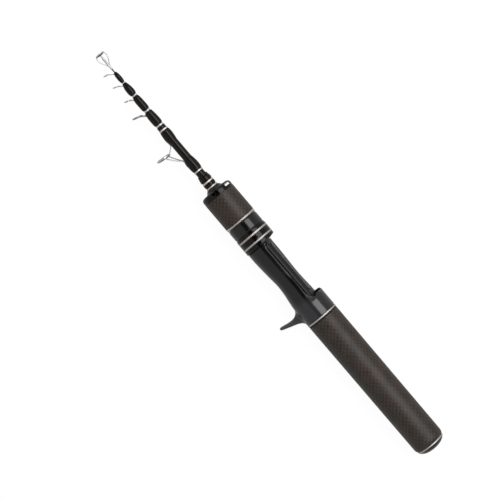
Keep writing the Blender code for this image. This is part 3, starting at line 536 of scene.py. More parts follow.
def joined(base, others):
    """Add the others' closed shells to the base, for wires that only run into each other."""
    shape = bmesh.new()
    shape.from_mesh(base.data)
    bring = base.matrix_world.inverted()
    for other in others:
        other.data.transform(bring @ other.matrix_world)
        shape.from_mesh(other.data)
        bpy.data.objects.remove(other, do_unlink=True)
    shape.to_mesh(base.data)
    shape.free()


def settled(made, look):
    """Bring a piece's shape to its place in the world, and give it its material."""
    made.data.transform(made.matrix_world)
    made.matrix_world = Matrix.Identity(4)
    made.data.materials.clear()
    made.data.materials.append(LOOKS[look])


def finished(made, *nodes, look=None):
    """Give a piece its material, let it ride with its nodes' body, and let it stand for them."""
    settled(made, look or SLOT_OF[nodes[0]])
    made.name = nodes[0] + "_finished"
    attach(made, BODY_OF[nodes[0]])
    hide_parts(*nodes)


# Blanks, wraps and winding checks. Sections are numbered from the solid tip to the fixed butt blank
SECTION_RADIUS = {i + 1: r * MM for i, r in enumerate((0.55, 0.97, 1.5, 2.1, 2.8, 3.68, 4.48))}
SECTION_FRONT = {i + 1: s * MM for i, s in enumerate((4.0, 18.4, 30.0, 43.6, 59.5, 75.0, 126.0))}
SECTION_BACK = 397.4 * MM
BUTT_BLANK_BACK = 398.0 * MM
SLIDING_GAP = 0.2 * MM
BLANK_TAPER = 0.0004
LIP = 0.08 * MM
WRAP_RUN_IN = 0.12 * MM
WRAP_RUN_OUT = 0.1 * MM
WRAP_STEP = 0.03 * MM
CHECK_EDGE = 0.3 * MM
GUIDE_SIDE = math.pi


def outer_radius(section, station):
    return SECTION_RADIUS[section] + BLANK_TAPER * (station - SECTION_FRONT[section])


def blank(section, node, back):
    """A hollow blank, lightly rounded at its mouth."""
    front = SECTION_FRONT[section]
    outline = [(front, outer_radius(section, front)), (back, outer_radius(section, back)),
               (back, outer_radius(section - 1, back) + SLIDING_GAP),
               (front, outer_radius(section - 1, front) + SLIDING_GAP)]
    finished(lathe(node, eased(outline, LIP), 48), node)


def mound(station, height, length, spread):
    """A warp that raises a surface round one point of it, for the thread over a guide's foot."""
    def raise_point(point, angle, radius):
        off = (angle - GUIDE_SIDE + math.pi) % (2 * math.pi) - math.pi
        share = math.exp(-((point.x - along(station)) / length) ** 2 - (off / spread) ** 2)
        return widened(point, 1 + height * share / radius)
    return raise_point


def wrap(node, section, outline, foot=None):
    """Varnished thread: a smooth swelling that runs out on the blank, raised over a guide's foot."""
    smooth = curved(in_mm(outline), 7)
    front, back = smooth[0][0], smooth[-1][0]
    run_in = (front - WRAP_RUN_IN, min(outer_radius(section, front), smooth[0][1]) + WRAP_STEP)
    run_out = (back + WRAP_RUN_OUT, outer_radius(section, back) + WRAP_STEP)
    inner = [(back, outer_radius(section, back) + FIT / 2), (front, outer_radius(section, front) + FIT / 2)]
    warp = mound(*foot) if foot else None
    finished(lathe(node, [run_in] + smooth + [run_out] + inner, 56, warp=warp, sharp=50), node)


def check(node, section, front, back, radius):
    """A bright winding check, rounded on both edges."""
    bore = outer_radius(section, back * MM) + FIT / 2
    outline = ring_outline(front * MM, back * MM, radius * MM, bore, CHECK_EDGE)
    finished(lathe(node, outline, 56), node, look="check_metal")


# Guides
RING_SIDES = 56
WIRE_SIDES = 16


def leaning(station, height, lean):
    """Place of a ring: its own frame has its axis along X and its middle at the origin."""
    return ROD @ Matrix.Translation((along(station), 0, height)) @ Matrix.Rotation(lean, 4, "Y")


def on_ring(station, height, radius, lean, degrees):
    """A (station, y, z) point of a leant ring, at an angle from its lowest point, nearest the blank."""
    angle = math.radians(degrees)
    up = radius * math.cos(angle)
    return (station + up * math.sin(lean), radius * math.sin(angle), height + up * math.cos(lean))


def shifted(outline):
    return [(HALF_LENGTH + x, radius) for x, radius in outline]


def ring_frame(name, radius, wire, depth, place):
    """The steel ring that holds the insert: a flattened band with rounded edges."""
    outline = arc((0, radius), (depth, wire), 0, 360, WIRE_SIDES)[:-1]
    made = lathe(name, shifted(outline), RING_SIDES)
    made.matrix_world = place
    return made


def ring_insert(node, outer, bore, half, place, steps=22):
    """The hard ring that the line runs through, with a polished throat."""
    outline = arc((0, (outer + bore) / 2), (half, (outer - bore) / 2), 0, 360, steps)[:-1]
    outline = [(x, min(r, outer)) for x, r in outline]
    made = lathe(node, shifted(outline), RING_SIDES, sharp=60)
    made.matrix_world = place
    finished(made, node)


def leg(name, path, halves, sides):
    """A bar of a guide. Halves gives its half width and half depth at a share of its path."""
    last = len(path) - 1
    return swept(name, path, [halves(i / last) for i in range(last + 1)], sides)


# Each foot holds its front, back, height and width. In millimetres, and degrees for the lean
GUIDE_SIZES = ("number", "section", "station", "height", "ring", "wire", "bore", "lean", "foot", "look")
SINGLE_GUIDES = [dict(zip(GUIDE_SIZES, row)) for row in (
    (1, 2, 15.4, 7.6, 2.2, 0.3, 1.0, 11, (18.6, 25.0, 0.36, 1.1), None),
    (2, 3, 27.7, 7.3, 2.85, 0.36, 1.4, 22, (30.3, 38.6, 0.42, 1.5), None),
    (3, 4, 42.4, 7.4, 3.15, 0.4, 1.6, 21, (44.2, 53.6, 0.5, 1.9), None),
    (4, 5, 57.2, 10.3, 4.3, 0.5, 2.5, 17, (59.8, 69.6, 0.56, 2.4), "shaded_steel"))]
LEG_ANGLE = 42
LEG_RUN_ON = 22
INSERT_SHARE = 0.8


def foot_bar(name, section, front, back, height, width):
    """The flat foot under the thread, thinned towards its end."""
    base = outer_radius(section, back) + FIT
    outline = [(front, -base - height), (front, -base), (back, -base),
               (back - height, -base - height * 0.5), (front + height, -base - height)]
    return pushed(name, outline, -width / 2, width / 2)


def single_guide(size):
    """A guide on one foot: ring frame, two legs that sweep down to the foot, and the ring insert."""
    section = size["section"]
    lean = math.radians(size["lean"])
    wire = size["wire"] * MM
    radius = size["ring"] * MM - wire
    station = size["station"] * MM
    height = -size["height"] * MM
    ring = (station, height, radius, lean)
    place = leaning(station, height, lean)
    front, back, foot_height, foot_width = (c * MM for c in size["foot"])
    node = "guide_%d_frame" % size["number"]
    base = ring_frame(node, radius, wire, wire * 1.25, place)
    level = -(outer_radius(section, front) + FIT + foot_height / 2)
    parts = [foot_bar(node + "_foot", section, front, back, foot_height, foot_width)]
    for side in (-1, 1):
        end = on_ring(*ring, side * LEG_ANGLE)
        low = on_ring(*ring, side * (LEG_ANGLE + LEG_RUN_ON))
        root = (front + foot_width * 1.3, side * foot_width * 0.14, level)
        knee = (front + foot_width * 0.75, side * foot_width * 0.2, level - 0.5 * wire)
        bend = mixed_pair(knee, end, 0.6)
        bend = (bend[0] - 0.3 * wire, bend[1] + side * 0.6 * wire, bend[2] - 0.4 * wire)
        path = curved([root, knee, bend, end, mixed_pair(end, low, 0.8)], 5)
        parts.append(leg("%s_leg_%d" % (node, side), path, lambda share: (
            wire * (1.6 - 0.6 * min(1, share * 1.4)), wire * (0.92 + 0.14 * (1 - share))), 12))
    joined(base, parts)
    finished(base, node, look=size["look"])
    ring_insert("guide_%d_ring" % size["number"], radius - wire * INSERT_SHARE, size["bore"] * MM,
                wire * 3.0 / 2, place)


# Each section's wrap as (station, radius) points, and its winding check's front, back and radius
TOP_WRAPS = {
    2: (((18.6, 1.25), (19.4, 1.5), (22.0, 1.92), (24.6, 2.04), (26.6, 1.92), (28.7, 1.45)),
        (29.15, 29.8, 1.5)),
    3: (((30.1, 1.85), (31.4, 2.2), (34.4, 2.85), (37.8, 3.14), (40.2, 2.95), (41.7, 2.4)),
        (42.3, 43.4, 2.35)),
    4: (((43.8, 2.5), (45.6, 2.95), (49.0, 3.24), (54.0, 3.28), (56.4, 3.15), (57.3, 2.8)),
        (57.9, 59.3, 2.75)),
    5: (((59.7, 3.2), (61.8, 3.5), (64.8, 3.82), (68.6, 3.98), (71.4, 3.88), (72.8, 3.4)),
        (73.4, 74.8, 3.4)),
}


def sliding_sections():
    for section, (outline, band) in TOP_WRAPS.items():
        guide = SINGLE_GUIDES[section - 2]
        blank(section, "section_%d_tube" % section, SECTION_BACK)
        foot_front, foot_back, foot_height, _ = guide["foot"]
        foot = (foot_front * 0.6 * MM + foot_back * 0.4 * MM, foot_height * 0.5 * MM, 3.4 * MM, 0.55)
        wrap("section_%d_wrap" % section, section, outline, foot)
        check("section_%d_trim_ring" % section, section, *band)
        single_guide(guide)


# The big ring's station, height, radius and lean
BIG_RING = (95.9 * MM, -15.75 * MM, 5.8 * MM, math.radians(6))
BIG_WIRE = 0.6 * MM
BIG_BORE = 4.4 * MM
REAR_LEG_ANGLE = 72
REAR_LEG_RUN_ON = 16
BIG_FRONT_FOOT = (82.0 * MM, 92.4 * MM, 0.6 * MM, 2.6 * MM)
BIG_REAR_FOOT = (108.6 * MM, 117.6 * MM, 0.6 * MM, 2.6 * MM)
FRONT_WRAP = ((79.6, 4.05), (81.4, 4.4), (84.4, 4.45), (87.6, 4.1), (90.2, 3.75))
REAR_WRAP = ((108.2, 3.75), (111.4, 4.28), (115.2, 4.6), (118.4, 4.5), (120.5, 4.15))


def big_guide():
    """The large guide on two feet: one leg in front, two spread legs behind."""
    station, ring_height, radius, lean = BIG_RING
    place = leaning(station, ring_height, lean)
    wire = BIG_WIRE
    node = "guide_5_frame"
    base = ring_frame(node, radius, wire, wire * 1.3, place)
    front, back, height, width = BIG_FRONT_FOOT
    level = -(outer_radius(6, BIG_REAR_FOOT[0]) + FIT + height / 2)
    bars = [foot_bar(node + "_rear_foot", 6, *BIG_REAR_FOOT)]
    base_level = outer_radius(6, back) + FIT
    outline = [(front, -base_level), (back, -base_level), (back, -base_level - height),
               (front + height, -base_level - height * 0.5)]
    bars.append(pushed(node + "_front_foot", outline, -width / 2, width / 2))
    low = on_ring(*BIG_RING, 0)
    path = curved([(back - 1.6 * MM, 0, level), (back - 0.1 * MM, 0, level - 0.2 * MM),
                   mixed_pair((back, 0, level), low, 0.55), low], 6)
    bars.append(leg(node + "_front_leg", path, lambda share: (wire * (1.9 - 0.9 * share), wire * 0.5), 14))
    root = BIG_REAR_FOOT[0]
    for side in (-1, 1):
        end = on_ring(*BIG_RING, side * REAR_LEG_ANGLE)
        after = on_ring(*BIG_RING, side * (REAR_LEG_ANGLE + REAR_LEG_RUN_ON))
        knee = (root - 0.2 * MM, side * 0.8 * MM, level - 0.25 * MM)
        bend = mixed_pair(knee, end, 0.5)
        bend = (bend[0], bend[1] + side * 0.5 * MM, bend[2] - 0.35 * MM)
        start = (root + 1.8 * MM, side * 0.5 * MM, level)
        path = curved([start, knee, bend, end, mixed_pair(end, after, 0.8)], 6)
        bars.append(leg("%s_rear_leg_%d" % (node, side), path, lambda share: (
            wire * (1.25 - 0.35 * share), wire * 0.78), 14))
    joined(base, bars)
    finished(base, node)
    ring_insert("guide_5_ring", radius - wire * INSERT_SHARE, BIG_BORE, wire * 3.4 / 2, place)


def section_six():
    blank(6, "section_6_tube", SECTION_BACK)
    wrap("front_foot_wrap", 6, FRONT_WRAP, (88.0 * MM, 0.85 * MM, 4.2 * MM, 0.5))
    wrap("rear_foot_wrap", 6, REAR_WRAP, (111.6 * MM, 0.7 * MM, 3.2 * MM, 0.5))
    check("section_6_front_trim_ring", 6, 78.1, 79.4, 4.0)
    check("section_6_rear_trim_ring", 6, 121.2, 122.4, 4.05)
    big_guide()


def butt_section():
    front, back = SECTION_FRONT[7], BUTT_BLANK_BACK
    outline = [(front, 4.06 * MM), (front + 2.4 * MM, outer_radius(7, front)), (back, outer_radius(7, back)),
               (back, outer_radius(6, back) + SLIDING_GAP), (front, outer_radius(6, front) + SLIDING_GAP)]
    finished(lathe("butt_blank", eased(outline, LIP), 48), "butt_blank")
    wrap("butt_front_wrap", 7, ((126.3, 4.3), (127.6, 4.55), (129.4, 5.0), (131.0, 5.17), (131.9, 5.2)))
    wrap("butt_rear_wrap", 7, ((134.4, 5.2), (136.0, 5.15), (137.1, 4.95)))
    check("butt_middle_trim_ring", 7, 132.8, 134.2, 5.2)
    check("butt_rear_trim_ring", 7, 137.85, 139.1, 5.3)


# Tip
TIP_RING_RADIUS = 3.65 * MM
TIP_WIRE = 0.5 * MM
TIP_RING_BORE = 2.7 * MM
TIP_INSERT_HALF = 0.47 * MM
FERRULE = (2.8 * MM, 14.8 * MM)
TIP_BRACE = ((0, 0, 0), (1.9, 0.6, 0.3), (3.9, 0.6, 0.9), (6.4, -0.4, 1.8), (8.7, -1.65, 2.7),
             (11.0, -2.95, 3.4))
TIP_PLACE = ROD @ Matrix.Rotation(TIP_TURN, 4, "X")
TIP_RING_PLACE = TIP_PLACE @ Matrix.Translation((along(TIP_WIRE), 0, -TIP_RING_RADIUS))


def tip_blank():
    front, back = SECTION_FRONT[1], SECTION_BACK
    outline = [(front, 0), (front, outer_radius(1, front)), (back, outer_radius(1, back)), (back, 0)]
    finished(lathe("tip_blank", eased(outline, LIP, False), 24), "tip_blank")


def tip_ferrule():
    """The ferrule tube with the braced tip ring, which is turned to stand straight up."""
    front, end = FERRULE
    bore = outer_radius(1, end) + FIT
    stop = SECTION_FRONT[1] - 0.3 * MM
    outline = [(front, 0), (front, 0.7 * MM), (front + 0.4 * MM, 1.0 * MM), (end - 2.6 * MM, 0.95 * MM),
               (end, 0.8 * MM), (end, bore), (stop, bore), (stop, 0)]
    base = lathe("tip_ferrule", eased(outline, 0.12 * MM, False), 32, TIP_PLACE)
    ring = ring_frame("tip_ring_band", TIP_RING_RADIUS, TIP_WIRE, TIP_WIRE * 0.94, TIP_RING_PLACE)
    neck = curved([(TIP_WIRE * 1.2, 0, 0.1 * MM), (front * 0.6, 0, 0.05 * MM), (front + 0.6 * MM, 0, 0)], 4)
    parts = [ring, swept("tip_neck", neck, (0.5 * MM, 0.4 * MM), place=TIP_PLACE)]
    for side in (-1, 1):
        points = [(TIP_WIRE + x * MM, side * (TIP_RING_RADIUS + y * MM), -TIP_RING_RADIUS + z * MM)
                  for x, y, z in TIP_BRACE]
        parts.append(swept("tip_brace_%d" % side, curved(points, 5), (0.4 * MM, 0.4 * MM), across=(0, 0, 1),
                           place=TIP_PLACE))
    joined(base, parts)
    finished(base, "tip_ferrule")


def tip_ring():
    outer = TIP_RING_RADIUS - TIP_WIRE * INSERT_SHARE
    ring_insert("tip_ring", outer, TIP_RING_BORE, TIP_INSERT_HALF, TIP_RING_PLACE, 18)


# Grips and rings
HANDLE_BORE = 5.0 * MM
SIDES = 112
REAR_GRIP_FRONT = 275.6 * MM
REAR_GRIP_BACK = 407.0 * MM


def turned_piece(node, outline, edge, sides, closed=True):
    """A plain turned piece with eased edges, in millimetres."""
    finished(lathe(node, eased(in_mm(outline), edge * MM, closed), sides), node)


def grips():
    outline = [(147.8, 14.0), (173.0, 14.0), (173.0, 13.3), (147.8, 13.3)]
    finished(lathe("fore_grip", eased(in_mm(outline), 0.2 * MM), SIDES), "fore_grip_skin")
    front, back = REAR_GRIP_FRONT, REAR_GRIP_BACK
    outline = [(front, 13.8 * MM)] + arc((back - 3.6 * MM, 11.95 * MM), (3.6 * MM, 1.55 * MM), 90, 15, 10)
    outline += [(back - 0.3 * MM, 11.6 * MM), (back - 3.9 * MM, 12.8 * MM), (front, 13.1 * MM)]
    finished(lathe("rear_grip", eased(outline, 0.35 * MM, least=40), SIDES), "rear_grip_skin")


def bright_ring(node, front, back, radius, bore, edge):
    outline = ring_outline(front * MM, back * MM, radius * MM, bore * MM, edge * MM)
    finished(lathe(node, outline, SIDES), node)


def rings():
    """The bright rings, and a black seat behind the rear one, which stands for no node."""
    bright_ring("fore_trim_ring", 173.45, 174.75, 13.95, 5.0, 0.1)
    bright_ring("rear_trim_ring", 273.1, 274.4, 14.0, 5.0, 0.15)
    outline = ring_outline(274.46 * MM, 275.4 * MM, 13.7 * MM, 6.0 * MM, 0.1 * MM)
    gasket = lathe("rear_ring_seat", outline, SIDES)
    settled(gasket, "rubber")
    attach(gasket, BODY_OF["rear_trim_ring"])
    bright_ring("butt_band", 407.08, 408.3, 12.4, 8.3, 0.15)
    for number, (front, back) in enumerate(HOOD_BANDS):
        bright_ring("moving_hood_band_%d" % (number + 1), front, back, 14.14, 13.9, 0.08)


# Front cap. Two of its windows reach further to one side
CAP_FRONT = 139.2 * MM
CAP_BACK = 147.7 * MM
CAP_SIDES = 120
WINDOW_COUNT = 5
WINDOW_SPACING = math.radians(72)
FIRST_WINDOW_TURN = math.radians(8)
WINDOW_MIDDLE = 144.5 * MM
WINDOW_HALF = 1.15 * MM
WINDOW_ARM = 3.7 * MM
WINDOW_ROUND = 0.9 * MM
WINDOW_EXTRA = {0: 2.2 * MM, 4: 1.2 * MM}
WINDOW_DEPTHS = (8.3 * MM, 16.0 * MM)


def front_cap():
    """The bell in front of the fore grip, with five rounded windows into the room behind its face."""
    face = in_mm([(139.2, 5.6), (139.5, 6.0), (141.0, 7.2), (141.6, 8.0), (141.9, 9.2)])
    bell = arc((145.0 * MM, 11.6 * MM), (3.05 * MM, 2.35 * MM), 178, 90, 14)
    outline = eased(face + bell, 0.3 * MM, False, least=14)
    outline += [(CAP_BACK - 0.12 * MM, 13.95 * MM), (CAP_BACK, 13.85 * MM), (CAP_BACK, HANDLE_BORE),
                (CAP_FRONT, HANDLE_BORE)]
    base = lathe("front_cap", outline, CAP_SIDES)
    front, back = WINDOW_MIDDLE - WINDOW_HALF, WINDOW_MIDDLE + WINDOW_HALF
    cutters = []
    for number in range(WINDOW_COUNT):
        turn = WINDOW_SPACING * number + FIRST_WINDOW_TURN
        low = -(WINDOW_ARM + WINDOW_EXTRA.get(number, 0))
        loop = [(front, low), (back, low), (back, WINDOW_ARM), (front, WINDOW_ARM)]
        loop = eased(loop, WINDOW_ROUND, steps=5)
        name = "front_cap_window_%d" % number
        cutters.append(pushed(name, loop, *WINDOW_DEPTHS, turn, upward=True))
    room = in_mm([(143.2, 13.45), (145.8, 13.45), (145.8, 6.6), (143.2, 6.6)])
    cutters.append(lathe("front_cap_room", room, CAP_SIDES))
    combined(base, cutters, "DIFFERENCE")
    finished(base, "front_cap", look="deep_black")


# Reel seat
THREAD_RADIUS = 12.0 * MM
THREAD_DEPTH = 0.5 * MM
THREAD_PITCH = 2.0 * MM
SEAT_BACK = 272.6 * MM
BARREL_RADIUS = 8.2 * MM
BARREL_FLAT = 7.0 * MM
LEDGE = 5.2 * MM
LIP_HEIGHT = 10.4 * MM
LIP_ROUND = 4.8 * MM
SHELL_FRONT = 199.6 * MM
FAR_LIP = 0.1
BARREL_FRONT = 175.0 * MM
THREAD_END = 199.2 * MM
THREAD_STEP = 0.25 * MM
THREAD_FADE = 187.5 * MM
SHELL_BORE = BARREL_RADIUS + 0.3 * MM
SHELL_ARCS = 72
MOUTH_EASE_END = 200.6 * MM
FINE_EASE_FRONT = 256 * MM
FLAT_FRONT = 176.5 * MM
FLAT_BACK = 264.0 * MM
GROOVE_TURN = math.radians(41)


def seat_barrel():
    """The threaded and then plain tube, with a flat on top for the reel's foot."""
    front = BARREL_FRONT
    outline = [(front + THREAD_STEP * k, THREAD_RADIUS) for k in range(97)]
    outline += [(THREAD_END, THREAD_RADIUS - THREAD_DEPTH), (THREAD_END + 0.02 * MM, BARREL_RADIUS)]
    outline += [(202.0 * MM + k * 2 * MM, BARREL_RADIUS) for k in range(35)]
    outline += [(SEAT_BACK, BARREL_RADIUS), (SEAT_BACK, HANDLE_BORE), (front, HANDLE_BORE)]

    def cut_thread(point, angle, radius):
        station = point.x + HALF_LENGTH
        if radius > THREAD_RADIUS - THREAD_DEPTH * 0.5:
            turns = (station - front) / THREAD_PITCH
            fade = min(1, turns, max(0.0, (THREAD_FADE - station) / THREAD_PITCH))
            depth = THREAD_DEPTH * (1 - min(1, thread_wave(turns, angle) * 1.6) * max(0.0, fade))
            point = widened(point, (radius - depth) / radius)
        if FLAT_FRONT < station < FLAT_BACK and radius > BARREL_FLAT:
            point.z = min(point.z, BARREL_FLAT)
        return point

    base = lathe("seat_barrel", outline, 144, warp=cut_thread, sharp=30)
    grooves = []
    for turn in (-GROOVE_TURN, GROOVE_TURN):
        place = around(BARREL_RADIUS, turn)
        path = [(200.4 * MM, *place), (256.6 * MM, *place)]
        grooves.append(swept("seat_groove", path, (0.7 * MM, 0.7 * MM)))
    combined(base, grooves, "DIFFERENCE", 30)
    finished(base, "seat_barrel", look="seat_tube")


def deck_pad():
    """The plate that the reel's foot stands on: round ends, eased edges and three shallow grooves."""
    front, back, half, top = 203.0 * MM, 251.5 * MM, 3.2 * MM, 7.7 * MM
    turns = [math.pi * k / 16 for k in range(17)]
    loop = [(back - half + half * math.sin(a), half * math.cos(a)) for a in turns]
    loop += [(front + half - half * math.sin(a), -half * math.cos(a)) for a in turns]
    middle = (front + back) / 2
    levels = [(0, BARREL_FLAT + FIT), (0, top - 0.25 * MM), (0.08 * MM, top - 0.08 * MM), (0.25 * MM, top)]
    shape = bmesh.new()
    rows = []
    for inset, level in levels:
        width = 1 - inset / half
        length = 1 - inset / (middle - front)
        points = [(along(middle + (s - middle) * length), y * width, level) for s, y in loop]
        rows.append([shape.verts.new(point) for point in points])
    shape.faces.new(rows[0])
    grid_faces(shape, rows, [0.0, 0.7, 0.9, 1.1, 1.3])
    shape.faces.new(rows[-1])
    base = shape_to_object(shape, "deck_pad")
    cutters = []
    for number, side in enumerate((-1.5 * MM, 0.0, 1.5 * MM)):
        path = [(207.0 * MM, side, top), (247.5 * MM, side, top)]
        cutters.append(swept("deck_groove_%d" % number, path, (0.28 * MM, 0.22 * MM)))
    combined(base, cutters, "DIFFERENCE")
    finished(base, "deck_pad")


# The shell's radius at its stations, in millimetres
PALM_OUTLINE = ((199.6, 13.2), (200.2, 13.5), (206.0, 13.5), (212.0, 13.25), (218.0, 12.85), (225.0, 12.3),
                (231.0, 11.75), (235.0, 11.65), (239.0, 11.85), (243.5, 12.3), (249.0, 13.1),
                (254.0, 13.65), (258.0, 13.95), (261.0, 14.0), (272.4, 14.0), (272.6, 13.8))


def palm_radius(station):
    points = in_mm(PALM_OUTLINE)
    for (s0, r0), (s1, r1) in zip(points, points[1:]):
        if s0 <= station <= s1:
            return r0 + (r1 - r0) * (station - s0) / (s1 - s0)
    return points[-1][1]


def ledge_height(station, share=1.0):
    """Height of the shell's edge beside the deck, which sweeps up to a lip in front."""
    left = 1 - (station - SHELL_FRONT) / LIP_ROUND
    if left <= 0:
        return LEDGE
    return LEDGE + share * (LIP_HEIGHT - LEDGE) * (1 - math.sqrt(max(0.0, 1 - left ** 2)))


def ledge_channel(side):
    """A shallow channel along the shell's edge beside the deck, outside which a thin rim stays."""
    inner, low, high = 7.7 * MM, LEDGE - 0.25 * MM, LEDGE + MM
    rows = []
    for k in range(41):
        station = (204.6 + 1.2 * k) * MM
        outer = math.sqrt(palm_radius(station) ** 2 - LEDGE ** 2) - 0.6 * MM
        corners = ((inner, high), (outer, high), (outer, low), (inner, low))
        rows.append([(along(station), side * y, z) for y, z in corners])
    return lofted("ledge_channel", rows)


def palm_shell():
    """The lower shell under the palm with its trigger: a channel open over the deck, lofted along the rod."""
    bore = SHELL_BORE
    stations = [SHELL_FRONT + k * 0.35 * MM for k in range(14)]
    stations += [204.6 * MM + k * 1.0 * MM for k in range(67)]
    stations += [271.4 * MM, 272.0 * MM, 272.35 * MM, 272.6 * MM]
    rows = []
    for station in stations:
        radius = palm_radius(station)
        if station < MOUTH_EASE_END:
            radius -= 0.25 * MM * ((MOUTH_EASE_END - station) / (1.0 * MM)) ** 2
        near = ledge_height(station)
        far = ledge_height(station, FAR_LIP)
        near_out, far_out = math.acos(near / radius), math.acos(far / radius)
        inside = math.acos(LEDGE / bore)
        ease = 0.28 * MM if station < FINE_EASE_FRONT else 0.06 * MM
        loop = bow(radius, near_out + ease / radius, 2 * math.pi - far_out - ease / radius, SHELL_ARCS)
        wide = radius * math.sin(far_out)
        loop += [(wide - ease * 0.1, far - ease * 0.35), (wide - ease * 0.5, far - ease * 0.05),
                 (wide - ease * 1.2, far), (bore * math.sin(inside) + 0.1 * MM, far)]
        loop += bow(bore, 2 * math.pi - inside, inside, SHELL_ARCS // 2)
        wide = radius * math.sin(near_out)
        loop += [(-bore * math.sin(inside) - 0.1 * MM, near), (-wide + ease * 1.2, near),
                 (-wide + ease * 0.5, near - ease * 0.05), (-wide + ease * 0.1, near - ease * 0.35)]
        rows.append([(along(station), y, z) for y, z in loop])
    base = lofted("palm_shell", rows, [s / MM for s in stations], sharp=15)
    combined(base, [trigger_blade()], "UNION", 15)
    combined(base, [ledge_channel(-1), ledge_channel(1)], "DIFFERENCE", 15)
    finished(base, "palm_shell", look="palm_shell")


# Trigger: its level below the axis, its front and back stations and its half width, in millimetres
TRIGGER_ROWS = (
    (11.0, 254.6, 273.4, 6.6), (12.6, 255.4, 272.6, 6.0), (13.6, 256.4, 271.8, 5.2),
    (14.4, 257.4, 270.9, 4.6), (15.4, 258.7, 269.7, 4.0), (16.4, 259.6, 268.9, 3.7),
    (17.4, 260.3, 268.3, 3.45), (19.0, 261.0, 267.5, 3.2), (21.0, 261.4, 266.8, 3.05),
    (23.4, 261.5, 266.05, 3.0), (25.6, 261.4, 265.45, 2.95), (28.0, 261.1, 264.7, 2.9),
    (30.4, 260.7, 264.0, 2.75), (32.2, 260.45, 263.45, 2.5), (33.5, 260.4, 263.0, 2.1),
    (34.3, 260.65, 262.6, 1.5), (34.65, 261.1, 262.2, 0.8))
TRIGGER_SIDES = 40
TRIGGER_FULLNESS = 0.8


def trigger_blade():
    """The finger hook, lofted from oval levels that flare into the shell."""
    rows = []
    for level, front, back, half in curved(TRIGGER_ROWS, 3):
        middle = (front + back) / 2
        reach = (back - front) / 2
        row = []
        for k in range(TRIGGER_SIDES):
            angle = 2 * math.pi * k / TRIGGER_SIDES
            ahead, aside = [math.copysign(abs(part) ** TRIGGER_FULLNESS, part)
                            for part in (math.cos(angle), math.sin(angle))]
            row.append((along((middle + reach * ahead) * MM), half * aside * MM, -level * MM))
        rows.append(row)
    rows.append([(along(261.65 * MM), 0, -34.7 * MM)])
    return lofted("trigger_blade", rows, sharp=60)


def rear_hood():
    """The fixed upper hood, whose pocket takes the back end of the reel's foot."""
    hood_front, back, radius = 255.2 * MM, SEAT_BACK, 14.0 * MM
    front = hood_front - 2.4 * MM
    outline = [(front, radius), (back, radius), (back, SHELL_BORE), (front, SHELL_BORE)]
    base = lathe("rear_hood", eased(outline, 0.22 * MM), 144)
    low = LEDGE + 0.06 * MM
    reach = 16.0 * MM
    ahead = front - 2 * MM
    keep = [(ahead, -reach), (ahead, reach), (hood_front + 2.7 * MM, reach)]
    keep += arc((hood_front + 2.7 * MM, 11.3 * MM), (2.7 * MM, 2.0 * MM), 90, 180, 10)
    keep += arc((front, low + 2.7 * MM), (2.4 * MM, 2.7 * MM), 0, -90, 10)
    keep += [(back + 2 * MM, low), (back + 2 * MM, -reach)]
    pocket_back, pocket_radius = hood_front + 8.4 * MM, 7.2 * MM
    outline = [(ahead, 0), (ahead, pocket_radius), (pocket_back, pocket_radius), (pocket_back, 0)]
    pocket = lathe("rear_hood_pocket", outline, 72)
    pocket.matrix_world = ROD @ Matrix.Translation((0, 0, 6.0 * MM))
    far_side = box("rear_hood_far_side", (front - 1 * MM, 2.0 * MM, low - 1 * MM),
                   (hood_front, reach, low + 9.0 * MM))
    mouth = box("rear_hood_mouth", (front - 1 * MM, -reach, low + 3 * MM),
                (hood_front + 1.1 * MM, 3.4 * MM, reach))
    scoop = [(ahead, reach), (ahead, low), (front, low)]
    scoop += arc((front, low + 4.9 * MM), (5.0 * MM, 4.9 * MM), -80, 0, 10)
    scoop += [(hood_front + 1.2 * MM, low + 6.2 * MM), (hood_front + 1.2 * MM, reach)]
    near_scoop = pushed("rear_hood_scoop", scoop, -reach / 2, reach / 2)
    near_scoop.matrix_world = ROD @ Matrix.Translation((0, -reach / 2 - 1.5 * MM, 0))
    brow = [(hood_front - 3 * MM, 16 * MM), (hood_front - 3 * MM, 12.3 * MM), (hood_front, 12.3 * MM)]
    brow += reversed(arc((hood_front + 2.6 * MM, 12.3 * MM), (2.6 * MM, 1.75 * MM), 90, 180, 10)[:-1])
    brow.append((hood_front + 2.6 * MM, 16 * MM))
    offset, turn = 8.0 * MM, math.radians(55)
    slope = in_mm([(251.0, 18.5), (260.0, 22.0), (260.0, 26.0), (251.0, 26.0)])
    near_slope = lathe("rear_hood_slope", slope, 180)
    near_slope.matrix_world = ROD @ Matrix.Translation((0, offset * math.sin(turn), -offset * math.cos(turn)))
    underside = pushed("rear_hood_underside", keep, -reach, reach)
    brow_cut = pushed("rear_hood_brow", brow, -reach, reach, -LEAN)
    cutters = [underside, pocket, far_side, mouth, near_scoop, near_slope, brow_cut]
    combined(base, cutters, "DIFFERENCE", 15)
    finished(base, "rear_hood", look="hood_black")


# The hood's bands, and the station from which its back edge is swept, in millimetres
HOOD_BANDS = ((188.0, 189.4), (194.3, 195.7))
HOOD_SWEEP = 196.2
NUT_BORE = 12.12


